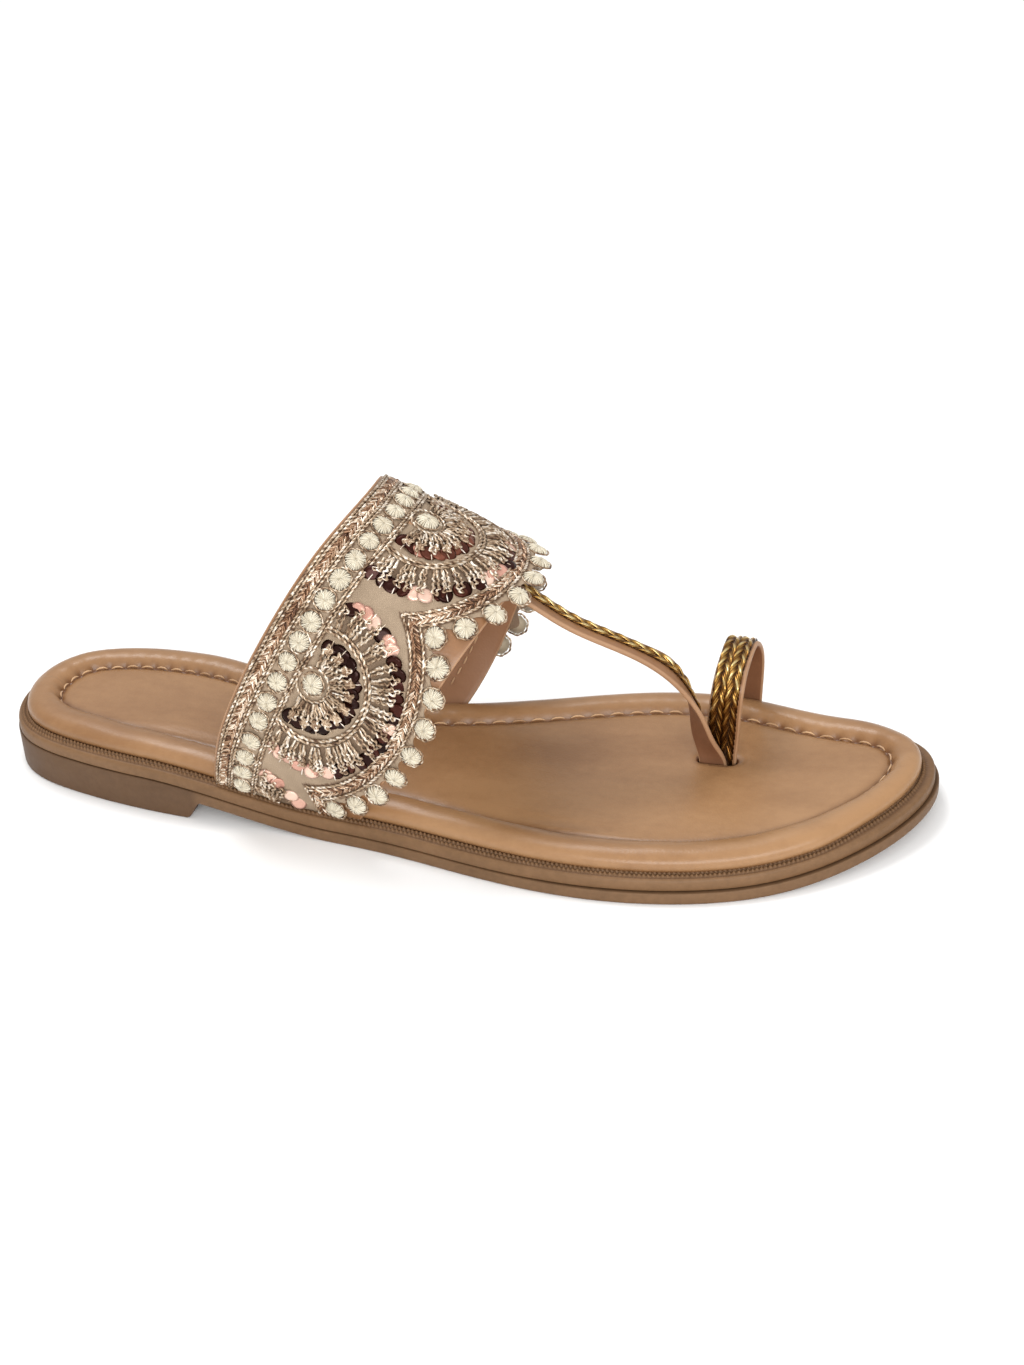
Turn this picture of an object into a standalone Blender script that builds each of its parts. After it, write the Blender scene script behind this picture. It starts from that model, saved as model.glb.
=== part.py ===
"""Right kolhapuri sandal: outsole with a low heel, welt plate, padded footbed and one-piece upper.

Standalone Blender 4.5 script, in metres with +Z up. Tables are in millimetres: x runs from the back of the
heel to the toe, y is positive on the medial side (towards the other foot), z is height above the floor.
"""
import math

import bmesh
import bpy
import numpy as np

MM = 0.001
PIECE_GAP = 0.3                # clearance between neighbouring pieces

# ---- sole ------------------------------------------------------------------------------------------
HEEL_END = (1.1, 2.6)          # rearmost point of the outline
TOE_END = (250.7, 12.2)        # foremost point of the outline
SOLE_SECTIONS = (              # x, lateral edge y, medial edge y
    (8.0, -15.3, 20.2),
    (26.0, -24.3, 28.2),
    (52.0, -29.7, 27.9),
    (85.0, -32.6, 23.8),
    (118.0, -36.8, 26.0),
    (148.0, -43.5, 35.0),
    (172.0, -46.0, 42.3),
    (196.0, -43.4, 43.5),
    (221.0, -33.0, 37.5),
    (238.0, -17.8, 32.6),
    (246.6, -4.9, 25.0),
)
OUTLINE_STATIONS = 46          # rows from heel to toe
HEEL_BREAST = (61.0, 65.0)     # x of the heel block's front face, at the floor and at the plate
OUTSOLE_THICKNESS = 3.4
HEEL_RISE = 6.8                # how much higher the heel seat is than the forefoot
ARCH = (47.0, 103.0)           # x over which the sole comes down from the heel seat to the forefoot
TOE_SPRING = 4.3
TOE_SPRING_START = 205.0
SOLE_END = 250.0
WELT_HEIGHT = 3.7              # from the top of the outsole to the top of the welt
WELT_INSET = (0.3, 1.0)        # welt side behind the outsole side: at the heel, at the toe
WELT_INSET_SPAN = (130.0, 200.0)
STRIP_WIDTH = 4.35             # knurled strip on top of the welt, outside the footbed

# ---- footbed: section of the padded rim ------------------------------------------------------------
FOOTBED_RIM = (                # inset from the outline, height above the top of the welt
    (5.3, 0.3),
    (4.7, 0.7),
    (4.35, 1.9),
    (4.8, 3.3),
    (5.9, 4.4),
    (7.7, 4.95),
    (9.6, 4.5),
    (11.3, 3.3),
    (12.3, 2.6),
    (13.4, 2.75),
)
FOOTBED_CENTRE = 2.9           # height of the footbed's middle above the top of the welt

# ---- instep band -----------------------------------------------------------------------------------
BAND_WIDTH = 44.5              # back edge to front edge, along the leather
BAND_THICKNESS = 2.0
BAND_EDGE_ROUND = 0.5
BAND_BACK_EDGE = (             # distance across from the middle (medial +), then x, y, z
    (-105.0, 68.8, -29.6, 12.5),
    (-85.0, 74.5, -36.5, 30.0),
    (-65.0, 82.5, -36.0, 48.0),
    (-45.0, 92.2, -33.2, 65.3),
    (-25.0, 101.8, -24.8, 79.8),
    (0.0, 108.3, -2.4, 86.2),
    (25.0, 104.2, 20.2, 79.2),
    (45.0, 97.6, 31.0, 64.2),
    (65.0, 90.8, 34.4, 46.8),
    (85.0, 82.8, 33.0, 29.2),
    (109.0, 69.9, 24.0, 11.5),
)
BAND_RULINGS = (               # distance across, pitch down towards the toe, splay to the medial side
    (-105.0, 41.0, 18.0),
    (-55.0, 29.0, -5.5),
    (0.0, 26.0, -3.0),
    (55.0, 22.5, 6.0),
    (109.0, 24.0, -20.0),
)
BAND_ACROSS_STATIONS = 44
BAND_ALONG_STATIONS = (7.0, 15.0, 23.0, 31.0, 38.0)
HEM_INSET = 1.8                # outer face of a strap's foot, inside the sole's outline
HEM_FADE = 30.0                # height over which the foot is drawn to that line
TUCK_DEPTH = 1.2               # how far a strap's foot goes down into its pocket

# ---- T-strap and big-toe loop ----------------------------------------------------------------------
STRAP_THICKNESS = 1.3
T_STRAP = (                    # lateral edge x, y, z, medial edge x, y, z
    (119.3, -7.0, 79.6, 118.7, 1.2, 79.8),
    (126.8, -6.3, 73.9, 126.2, 2.0, 74.0),
    (133.2, -5.4, 69.0, 132.5, 2.9, 69.1),
    (146.4, -3.9, 59.5, 145.5, 4.4, 59.5),
    (158.6, -2.3, 50.9, 157.2, 5.9, 50.8),
    (168.8, -0.4, 45.6, 167.3, 7.8, 45.5),
    (176.8, 1.0, 41.3, 175.5, 9.2, 41.5),
    (182.2, 2.1, 37.0, 181.3, 10.3, 38.0),
    (187.0, 3.3, 31.4, 185.0, 11.3, 31.0),
    (190.8, 3.9, 25.6, 186.5, 10.8, 24.6),
    (193.8, 5.4, 17.2, 187.3, 10.3, 16.0),
    (195.3, 7.0, 13.3, 188.4, 9.8, 12.0),
    (196.2, 8.1, 10.3, 189.0, 9.0, 9.4),
    (196.6, 8.4, 5.9, 189.2, 8.6, 5.9),
)
TOE_LOOP = (                   # front edge x, y, z, rear edge x, y, z
    (198.6, 9.7, 5.9, 190.0, 9.7, 5.9),
    (198.7, 10.0, 9.0, 190.1, 10.0, 9.0),
    (199.0, 10.6, 13.0, 190.4, 10.6, 13.0),
    (199.6, 10.4, 19.0, 190.9, 10.4, 18.5),
    (200.2, 9.8, 25.5, 191.5, 9.8, 24.8),
    (200.8, 9.8, 30.2, 192.2, 10.0, 29.6),
    (201.0, 11.8, 32.9, 192.5, 12.3, 32.3),
    (201.0, 16.5, 34.3, 192.6, 17.0, 34.0),
    (201.0, 22.5, 34.9, 192.7, 22.5, 35.2),
    (201.0, 28.2, 34.2, 192.6, 28.2, 34.6),
    (201.0, 33.2, 31.2, 192.4, 33.2, 31.4),
    (201.0, 36.8, 26.6, 192.2, 37.0, 26.6),
    (200.7, 38.5, 21.0, 192.0, 38.8, 21.0),
    (200.2, 39.2, 15.0, 191.8, 39.6, 15.0),
    (199.8, 39.7, 10.0, 191.6, 40.1, 10.0),
    (199.6, 39.8, 6.0, 191.5, 40.2, 6.0),
)
T_STRAP_STATIONS = 34
TOE_LOOP_STATIONS = 40
SLOT_CENTRE = (193.85, 9.3)    # slot for both strap ends, between the big toe and the second toe
SLOT_SIZE = (10.5, 3.8)
SLOT_FLOOR = 5.5

# ---- finishes --------------------------------------------------------------------------------------
FINISHES = {                   # material: sRGB colour, roughness
    "outsole_rubber": ((118, 90, 66), 0.62),
    "welt_rubber": ((150, 115, 84), 0.55),
    "footbed_leather": ((178, 138, 106), 0.45),
    "upper_leather": ((176, 136, 104), 0.50),
}


# ---- helpers ---------------------------------------------------------------------------------------
def clear_scene():
    for old in list(bpy.data.objects):
        bpy.data.objects.remove(old, do_unlink=True)


def smoothstep(t):
    t = np.clip(t, 0.0, 1.0)
    return t * t * (3.0 - 2.0 * t)


def natural_spline(knots, values):
    """Return a function that follows the values smoothly between the knots."""
    knots = np.asarray(knots, float)
    values = np.asarray(values, float)
    if values.ndim == 1:
        values = values[:, None]
    step = np.diff(knots)
    count = len(knots)
    system = np.eye(count)
    right = np.zeros_like(values)
    for k in range(1, count - 1):
        system[k, k - 1:k + 2] = (step[k - 1], 2.0 * (step[k - 1] + step[k]), step[k])
        rise = (values[k + 1] - values[k]) / step[k]
        rise_before = (values[k] - values[k - 1]) / step[k - 1]
        right[k] = 6.0 * (rise - rise_before)
    bend = np.linalg.solve(system, right)

    def curve(at):
        at = np.asarray(at, float)
        cell = np.clip(np.searchsorted(knots, at) - 1, 0, count - 2)
        width = step[cell][..., None]
        low = (at - knots[cell])[..., None]
        high = width - low
        linear = (values[cell] * high + values[cell + 1] * low) / width
        curved = bend[cell] * (high ** 3 / width - high * width)
        curved = curved + bend[cell + 1] * (low ** 3 / width - low * width)
        return linear + curved / 6.0

    return curve


def lengths_along(points):
    hops = np.linalg.norm(np.diff(points, axis=0), axis=1)
    return np.concatenate(([0.0], np.cumsum(hops)))


def material(name):
    rgb, roughness = FINISHES[name]
    linear = [((c / 255.0 + 0.055) / 1.055) ** 2.4 for c in rgb]
    made = bpy.data.materials.new(name)
    made.use_nodes = True
    shader = made.node_tree.nodes["Principled BSDF"]
    shader.inputs["Base Color"].default_value = (*linear, 1.0)
    shader.inputs["Roughness"].default_value = roughness
    shader.inputs["Metallic"].default_value = 0.0
    made.diffuse_color = (*linear, 1.0)
    return made


def new_collection(name):
    made = bpy.data.collections.new(name)
    bpy.context.scene.collection.children.link(made)
    return made


def mesh_object(name, points_mm, faces, collection):
    mesh = bpy.data.meshes.new(name)
    mesh.from_pydata([tuple(p * MM) for p in np.asarray(points_mm, float)], [], faces)
    work = bmesh.new()
    work.from_mesh(mesh)
    bmesh.ops.recalc_face_normals(work, faces=work.faces)
    work.to_mesh(mesh)
    work.free()
    made = bpy.data.objects.new(name, mesh)
    collection.objects.link(made)
    return made


def hide_cutter(cutter):
    cutter.hide_render = True
    cutter.display_type = 'WIRE'


def combine(target, other, operation):
    """Apply one exact Boolean and leave the result in the target's mesh."""
    modifier = target.modifiers.new(operation.lower(), 'BOOLEAN')
    modifier.operation = operation
    modifier.solver = 'EXACT'
    modifier.object = other
    bpy.context.view_layer.update()
    result = target.evaluated_get(bpy.context.evaluated_depsgraph_get())
    mesh = bpy.data.meshes.new_from_object(result)
    target.modifiers.clear()
    old = target.data
    target.data = mesh
    mesh.name = target.name
    bpy.data.meshes.remove(old)


def finish(piece, finish_name, sharp_degrees):
    """Triangulate, give the one material and shade smooth between the real edges."""
    work = bmesh.new()
    work.from_mesh(piece.data)
    bmesh.ops.remove_doubles(work, verts=work.verts, dist=0.00001)
    bmesh.ops.dissolve_degenerate(work, edges=work.edges, dist=0.000005)
    bmesh.ops.triangulate(work, faces=work.faces)
    bmesh.ops.recalc_face_normals(work, faces=work.faces)
    work.to_mesh(piece.data)
    work.free()
    piece.data.materials.clear()
    piece.data.materials.append(material(finish_name))
    piece.data.polygons.foreach_set("use_smooth", [True] * len(piece.data.polygons))
    piece.data.set_sharp_from_angle(angle=math.radians(sharp_degrees))


# ---- sole outline and heights ----------------------------------------------------------------------
def outline_samples(count=1600):
    """Dense points of the closed outline, counterclockwise from the rearmost point, and its two halves."""
    lateral = [(x, y) for x, y, _ in SOLE_SECTIONS]
    medial = [(x, y) for x, _, y in reversed(SOLE_SECTIONS)]
    corners = np.array([HEEL_END, *lateral, TOE_END, *medial])
    wrap = 4
    closed = np.vstack((corners[-wrap:], corners, corners[:wrap + 1]))
    travel = lengths_along(closed)
    curve = natural_spline(travel, closed)
    first = travel[wrap]
    last = travel[wrap + len(corners)]
    points = curve(np.linspace(first, last, count + 1)[:-1])
    return np.roll(points, -int(points[:, 0].argmin()), axis=0)


def outline_ring():
    """Outline points in rows that share x, and the unit normals that point outwards."""
    dense = outline_samples()
    ahead = np.roll(dense, -1, axis=0) - np.roll(dense, 1, axis=0)
    normals = np.column_stack((ahead[:, 1], -ahead[:, 0]))
    normals /= np.linalg.norm(normals, axis=1)[:, None]
    toe = int(dense[:, 0].argmax())
    x_heel = dense[0, 0]
    x_toe = dense[toe, 0]
    turn = np.linspace(0.0, math.pi, OUTLINE_STATIONS + 1)[1:-1]
    rows = x_heel + (x_toe - x_heel) * (1.0 - np.cos(turn)) / 2.0
    for breast in HEEL_BREAST:
        rows[np.abs(rows - breast).argmin()] = breast
    out_way = np.column_stack((dense[:toe + 1], normals[:toe + 1]))
    back = np.vstack((dense[toe:], dense[:1]))
    back_normals = np.vstack((normals[toe:], normals[:1]))
    back_way = np.column_stack((back, back_normals))[::-1]
    lateral = np.column_stack([np.interp(rows, out_way[:, 0], out_way[:, k]) for k in range(4)])
    medial = np.column_stack([np.interp(rows, back_way[:, 0], back_way[:, k]) for k in range(4)])
    ring = np.vstack((out_way[:1], lateral, out_way[-1:], medial[::-1]))
    return ring[:, :2], ring[:, 2:]


RING, RING_NORMALS = outline_ring()


def inset_ring(inset):
    """The outline moved inwards; the inset may be one number or one for each point."""
    inset = np.broadcast_to(np.asarray(inset, float), (len(RING),))
    return RING - RING_NORMALS * inset[:, None]


def seat_height(x):
    """Top of the outsole: heel seat, arch, flat forefoot and toe spring."""
    x = np.asarray(x, float)
    heel = HEEL_RISE * smoothstep((ARCH[1] - x) / (ARCH[1] - ARCH[0]))
    spring = TOE_SPRING * (np.clip(x - TOE_SPRING_START, 0.0, None) / (SOLE_END - TOE_SPRING_START)) ** 2
    return OUTSOLE_THICKNESS + heel + spring


def under_height(x):
    """Underside of the outsole: flat heel block, sloping breast, then the plate."""
    x = np.asarray(x, float)
    plate = seat_height(x) - OUTSOLE_THICKNESS
    rise = np.clip((x - HEEL_BREAST[0]) / (HEEL_BREAST[1] - HEEL_BREAST[0]), 0.0, 1.0)
    return plate * rise


def welt_top(x):
    return seat_height(x) + WELT_HEIGHT


def welt_inset(x):
    front = smoothstep((x - WELT_INSET_SPAN[0]) / (WELT_INSET_SPAN[1] - WELT_INSET_SPAN[0]))
    return WELT_INSET[0] + (WELT_INSET[1] - WELT_INSET[0]) * front


def raise_ring(flat, height):
    return np.column_stack((flat, height(flat[:, 0])))


def ring_solid(name, rings, bottom, top, columns, collection):
    """Wall the rings from the bottom up, and close both ends with rows of faces across the sole."""
    count = len(RING)
    half = count // 2
    points = list(np.vstack(rings))
    faces = []
    for level in range(len(rings) - 1):
        base = level * count
        for k in range(count):
            following = (k + 1) % count
            faces.append((base + k, base + following, base + count + following, base + count + k))

    def close(ring, start, height, upwards):
        across = []
        for row in range(1, half):
            left = ring[row]
            right = ring[count - row]
            cells = [start + row]
            for column in range(1, columns):
                spot = left[:2] + (right[:2] - left[:2]) * column / columns
                points.append(np.array((spot[0], spot[1], float(height(spot[0])))))
                cells.append(len(points) - 1)
            cells.append(start + count - row)
            across.append(cells)
        made = []
        for column in range(columns):
            made.append((start, across[0][column], across[0][column + 1]))
            made.append((across[-1][column], start + half, across[-1][column + 1]))
        for near, far in zip(across[:-1], across[1:]):
            for column in range(columns):
                made.append((near[column], far[column], far[column + 1], near[column + 1]))
        faces.extend(face if upwards else face[::-1] for face in made)

    close(rings[0], 0, bottom, False)
    close(rings[-1], (len(rings) - 1) * count, top, True)
    return mesh_object(name, points, faces, collection)


# ---- sole pieces -----------------------------------------------------------------------------------
def make_outsole(collection):
    def level(inset, height):
        return raise_ring(inset_ring(inset), height)

    edge = 0.6
    heel_taper = 0.2 * smoothstep((HEEL_BREAST[1] - RING[:, 0]) / 4.0)
    top_gap = PIECE_GAP / 2.0
    rings = (
        level(edge + heel_taper, under_height),
        level(0.2 + heel_taper, lambda x: under_height(x) + edge),
        level(0.0, lambda x: seat_height(x) - 0.7),
        level(0.5, lambda x: seat_height(x) - top_gap),
    )
    return ring_solid("outsole", rings, under_height, lambda x: seat_height(x) - top_gap, 6, collection)


def make_midsole(collection):
    def level(inset, height):
        return raise_ring(inset_ring(welt_inset(RING[:, 0]) + inset), height)

    bottom_gap = PIECE_GAP / 2.0
    rings = (
        level(0.5, lambda x: seat_height(x) + bottom_gap),
        level(0.0, lambda x: seat_height(x) + 0.6),
        level(0.0, lambda x: welt_top(x) - 0.5),
        level(0.5, welt_top),
    )
    return ring_solid("midsole", rings, lambda x: seat_height(x) + bottom_gap, welt_top, 6, collection)


def make_footbed(collection):
    def level(inset, above):
        return raise_ring(inset_ring(inset), lambda x: welt_top(x) + above)

    rings = [level(inset, above) for inset, above in FOOTBED_RIM]
    floor = FOOTBED_RIM[0][1]
    return ring_solid("footbed", rings, lambda x: welt_top(x) + floor,
                      lambda x: welt_top(x) + FOOTBED_CENTRE, 6, collection)


# ---- instep band -----------------------------------------------------------------------------------
BAND_BACK = np.array(BAND_BACK_EDGE)
RULINGS = np.array(BAND_RULINGS)
back_edge = natural_spline(BAND_BACK[:, 0], BAND_BACK[:, 1:])
ruling_angles = natural_spline(RULINGS[:, 0], np.radians(RULINGS[:, 1:]))
strip_line = inset_ring(HEM_INSET)


def strip_line_y(x, side):
    """Where the hem inset line lies at x, on the lateral (-1) or medial (+1) side."""
    half = len(strip_line) // 2
    line = strip_line[1:half] if side < 0 else strip_line[half + 1:][::-1]
    return np.interp(x, line[:, 0], line[:, 1])


def free_band_point(across, along):
    """Ruled surface of the band's outer face, before its feet are drawn to the sole."""
    pitch, splay = np.moveaxis(ruling_angles(across), -1, 0)
    way = np.stack((np.cos(pitch) * np.cos(splay), np.cos(pitch) * np.sin(splay), -np.sin(pitch)), axis=-1)
    return back_edge(across) + np.asarray(along, float)[..., None] * way


def hem_across(along, side, drop):
    """Distance across at which the band, followed down along one line, meets the welt less a drop."""
    trial = side * np.linspace(60.0, 122.0, 400)
    line = free_band_point(trial, np.full(len(trial), along))
    clear = line[:, 2] - (welt_top(line[:, 0]) - drop)
    k = int(np.argmax(clear < 0.0))
    share = clear[k - 1] / (clear[k - 1] - clear[k])
    return trial[k - 1] + (trial[k] - trial[k - 1]) * share


def foot_shift(along, side):
    """Sideways move that puts the band's foot on the hem inset line."""
    spot = free_band_point(np.array([hem_across(along, side, 0.0)]), np.array([along]))[0]
    return float(strip_line_y(spot[0], side) - spot[1])


HEM_ALONG = np.linspace(-2.0, BAND_WIDTH + 2.0, 12)
LATERAL_SHIFT = np.array([foot_shift(v, -1) for v in HEM_ALONG])
MEDIAL_SHIFT = np.array([foot_shift(v, 1) for v in HEM_ALONG])


def band_point(across, along):
    across, along = np.broadcast_arrays(np.asarray(across, float), np.asarray(along, float))
    points = free_band_point(across, along)
    lateral = np.interp(along, HEM_ALONG, LATERAL_SHIFT)
    medial = np.interp(along, HEM_ALONG, MEDIAL_SHIFT)
    shift = np.where(across < 0.0, lateral, medial)
    height = points[..., 2] - welt_top(points[..., 0])
    fade = np.clip(1.0 - height / HEM_FADE, 0.0, 1.0) ** 2
    points[..., 1] += shift * fade
    return points


def band_normal(across, along):
    step = 0.5
    sideways = band_point(across + step, along) - band_point(across - step, along)
    forwards = band_point(across, along + step) - band_point(across, along - step)
    normal = np.cross(forwards, sideways)
    return normal / np.linalg.norm(normal, axis=-1)[..., None]


def band_profile(grow):
    """Closed section of the band as (distance along, depth below the outer face); grow makes the cutter."""
    front = BAND_WIDTH + grow
    back = -grow
    deep = BAND_THICKNESS + grow
    edge = BAND_EDGE_ROUND
    outer = [(back, edge - grow), (back + edge, -grow)]
    outer += [(v, -grow) for v in BAND_ALONG_STATIONS]
    outer += [(front - edge, -grow), (front, edge - grow)]
    inner = [(v, BAND_THICKNESS - d) for v, d in reversed(outer)]
    return outer + inner if grow == 0.0 else outer + [(v, deep - (d + grow)) for v, d in reversed(outer)]


def band_sections(grow, drop, share_range):
    """Sections of the band from its lateral foot to its medial foot, as an array of closed loops."""
    sections = []
    profile = band_profile(grow)
    ends = {v: (hem_across(v, -1, drop), hem_across(v, 1, drop)) for v, _ in profile}
    for share in share_range:
        loop = []
        for v, depth in profile:
            low, high = ends[v]
            u = np.array(low + (high - low) * share)
            loop.append(band_point(u, np.array(v)) - depth * band_normal(u, np.array(v)))
        sections.append(loop)
    return np.array(sections)


# ---- straps ----------------------------------------------------------------------------------------
STRAP_PROFILE = (              # share of the half width, share of the half thickness
    (-1.0, 0.45), (-0.93, 1.0), (-0.5, 1.0), (0.0, 1.0), (0.5, 1.0), (0.93, 1.0), (1.0, 0.45),
    (1.0, -0.45), (0.93, -1.0), (0.5, -1.0), (0.0, -1.0), (-0.5, -1.0), (-0.93, -1.0), (-1.0, -0.45),
)


def strap_sections(table, stations, grow):
    """Sections of a flat strap that follows a table of edge points through the middle of its thickness."""
    rows = np.array(table)
    middle = (rows[:, 0:3] + rows[:, 3:6]) / 2.0
    travel = lengths_along(middle)
    follow = natural_spline(travel, rows)
    at = np.linspace(0.0, travel[-1], stations)
    smooth = follow(at)
    first = smooth[:, 0:3]
    second = smooth[:, 3:6]
    centre = (first + second) / 2.0
    way = np.gradient(centre, axis=0)
    way /= np.linalg.norm(way, axis=1)[:, None]
    width = second - first
    half = np.linalg.norm(width, axis=1) / 2.0
    width /= (2.0 * half)[:, None]
    face = np.cross(way, width)
    face /= np.linalg.norm(face, axis=1)[:, None]
    sections = []
    for k in range(stations):
        loop = []
        for across, up in STRAP_PROFILE:
            side = across * (half[k] + grow)
            lift = up * (STRAP_THICKNESS / 2.0 + grow)
            loop.append(centre[k] + width[k] * side + face[k] * lift)
        sections.append(loop)
    return np.array(sections)


def loft(name, sections, collection):
    """Skin closed sections one after the other; each end is closed from the outer to the inner face."""
    count = sections.shape[1]
    faces = []
    for level in range(len(sections) - 1):
        base = level * count
        for k in range(count):
            following = (k + 1) % count
            faces.append((base + k, base + count + k, base + count + following, base + following))
    last = (len(sections) - 1) * count
    for k in range(count // 2 - 1):
        opposite = count - 1 - k
        faces.append((k, k + 1, opposite - 1, opposite))
        faces.append((last + opposite, last + opposite - 1, last + k + 1, last + k))
    return mesh_object(name, sections.reshape(-1, 3), faces, collection)


def make_upper(collection, workshop):
    shares = np.linspace(0.0, 1.0, BAND_ACROSS_STATIONS)
    upper = loft("upper", band_sections(0.0, TUCK_DEPTH, shares), collection)
    t_strap = loft("t_strap_form", strap_sections(T_STRAP, T_STRAP_STATIONS, 0.0), workshop)
    toe_loop = loft("toe_loop_form", strap_sections(TOE_LOOP, TOE_LOOP_STATIONS, 0.0), workshop)
    combine(t_strap, toe_loop, 'UNION')
    combine(upper, t_strap, 'UNION')
    for form in (t_strap, toe_loop):
        hide_cutter(form)
    return upper


# ---- pockets ---------------------------------------------------------------------------------------
def box(name, size, centre, collection):
    """A plain box made from the cube primitive, its size in the mesh."""
    work = bmesh.new()
    bmesh.ops.create_cube(work, size=1.0)
    bmesh.ops.scale(work, vec=[s * MM for s in size], verts=work.verts)
    bmesh.ops.translate(work, vec=[c * MM for c in centre], verts=work.verts)
    mesh = bpy.data.meshes.new(name)
    work.to_mesh(mesh)
    work.free()
    made = bpy.data.objects.new(name, mesh)
    collection.objects.link(made)
    return made


def make_cutters(workshop):
    """Solids that clear the straps' feet, the toe loop's medial foot and the slot beside the big toe."""
    lateral = loft("lateral_foot_cutter",
                   band_sections(PIECE_GAP, TUCK_DEPTH + PIECE_GAP, np.linspace(0.0, 0.16, 9)), workshop)
    medial = loft("medial_foot_cutter",
                  band_sections(PIECE_GAP, TUCK_DEPTH + PIECE_GAP, np.linspace(0.84, 1.0, 9)), workshop)
    foot_rows = np.array(TOE_LOOP[-4:])
    foot_rows[-1, (2, 5)] -= PIECE_GAP
    loop_foot = loft("toe_loop_foot_cutter", strap_sections(foot_rows, 12, PIECE_GAP), workshop)
    slot_top = 30.0
    slot = box("slot_cutter", (SLOT_SIZE[0], SLOT_SIZE[1], slot_top - SLOT_FLOOR),
               (SLOT_CENTRE[0], SLOT_CENTRE[1], (slot_top + SLOT_FLOOR) / 2.0), workshop)
    cutters = (lateral, medial, loop_foot, slot)
    for cutter in cutters:
        hide_cutter(cutter)
    return cutters


def centre_on_origin(pieces, others):
    """Move every mesh so that the shoe's bounding box stands centred on the origin."""
    points = np.vstack([[v.co[:] for v in piece.data.vertices] for piece in pieces])
    low = points.min(axis=0)
    high = points.max(axis=0)
    move = -np.array(((low[0] + high[0]) / 2.0, (low[1] + high[1]) / 2.0, low[2]))
    for item in (*pieces, *others):
        for vertex in item.data.vertices:
            vertex.co = [a + b for a, b in zip(vertex.co, move)]


def main():
    clear_scene()
    shoe = new_collection("kolhapuri_sandal")
    workshop = new_collection("cutters")
    outsole = make_outsole(shoe)
    midsole = make_midsole(shoe)
    footbed = make_footbed(shoe)
    upper = make_upper(shoe, workshop)
    cutters = make_cutters(workshop)
    for cutter in cutters:
        combine(midsole, cutter, 'DIFFERENCE')
        combine(footbed, cutter, 'DIFFERENCE')
    finish(outsole, "outsole_rubber", 35.0)
    finish(midsole, "welt_rubber", 35.0)
    finish(footbed, "footbed_leather", 50.0)
    finish(upper, "upper_leather", 50.0)
    centre_on_origin((outsole, midsole, footbed, upper), list(workshop.objects))


main()
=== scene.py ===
"""Looks of the right kolhapuri sandal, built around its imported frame. Lengths in tables are millimetres.

Shoe coordinates: x from the back of the heel to the toe, y positive on the medial side, z above the floor.
"""

import math

import bpy
import numpy as np
from mathutils import Matrix, Vector


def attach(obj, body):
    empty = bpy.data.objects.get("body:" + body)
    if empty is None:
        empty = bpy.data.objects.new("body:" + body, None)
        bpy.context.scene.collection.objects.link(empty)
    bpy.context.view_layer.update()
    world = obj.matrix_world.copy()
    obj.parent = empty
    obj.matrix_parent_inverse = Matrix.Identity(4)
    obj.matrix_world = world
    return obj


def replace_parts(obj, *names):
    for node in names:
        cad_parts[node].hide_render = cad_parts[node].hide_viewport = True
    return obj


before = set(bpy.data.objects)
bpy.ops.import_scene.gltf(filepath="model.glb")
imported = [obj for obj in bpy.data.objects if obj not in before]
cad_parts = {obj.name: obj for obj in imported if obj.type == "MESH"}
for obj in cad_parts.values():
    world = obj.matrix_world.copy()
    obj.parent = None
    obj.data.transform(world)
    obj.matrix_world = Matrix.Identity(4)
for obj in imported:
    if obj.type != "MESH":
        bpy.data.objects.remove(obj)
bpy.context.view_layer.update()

MM = 0.001
# The CAD stands centred on the origin: the shoe's own x and y are moved by this much.
SHIFT = np.array((-125.912, 1.010, 0))
rng = np.random.default_rng(7)

# ------ sizes from the CAD
HEEL_END = (1.1, 2.6)
TOE_END = (250.7, 12.2)
SOLE_SECTIONS = (              # x, lateral edge y, medial edge y
    (8, -15.3, 20.2), (26, -24.3, 28.2), (52, -29.7, 27.9), (85, -32.6, 23.8), (118, -36.8, 26),
    (148, -43.5, 35), (172, -46, 42.3), (196, -43.4, 43.5), (221, -33, 37.5), (238, -17.8, 32.6),
    (246.6, -4.9, 25),
)
HEEL_BREAST = (61, 65)
OUTSOLE_THICKNESS = 3.4
HEEL_RISE = 6.8
ARCH = (47, 103)
TOE_SPRING = 4.3
TOE_SPRING_START = 205
SOLE_END = 250
WELT_HEIGHT = 3.7
WELT_INSET = (0.3, 1)
WELT_INSET_SPAN = (130, 200)
TOE_LIP = 1.4
TOE_LIP_START = 226
FOOTBED_CENTRE = 2.9

BAND_WIDTH = 44.5
BAND_THICKNESS = 2
BAND_BACK_EDGE = np.array((  # distance across from the middle (medial +), then x, y, z
    (-105, 68.8, -29.6, 12.5), (-85, 74.5, -36.5, 30), (-65, 82.5, -36, 48), (-45, 92.2, -33.2, 65.3),
    (-25, 101.8, -24.8, 79.8), (0, 108.3, -2.4, 86.2), (25, 104.2, 20.2, 79.2), (45, 97.6, 31, 64.2),
    (65, 90.8, 34.4, 46.8), (85, 82.8, 33, 29.2), (109, 69.9, 24, 11.5),
))
BAND_RULINGS = np.array((  # distance across, pitch down towards the toe, splay to the medial side
    (-105, 41, 18), (-55, 29, -5.5), (0, 26, -3), (55, 22.5, 6), (109, 24, -20),
))
HEM_INSET = 1.8
HEM_FADE = 30

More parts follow.
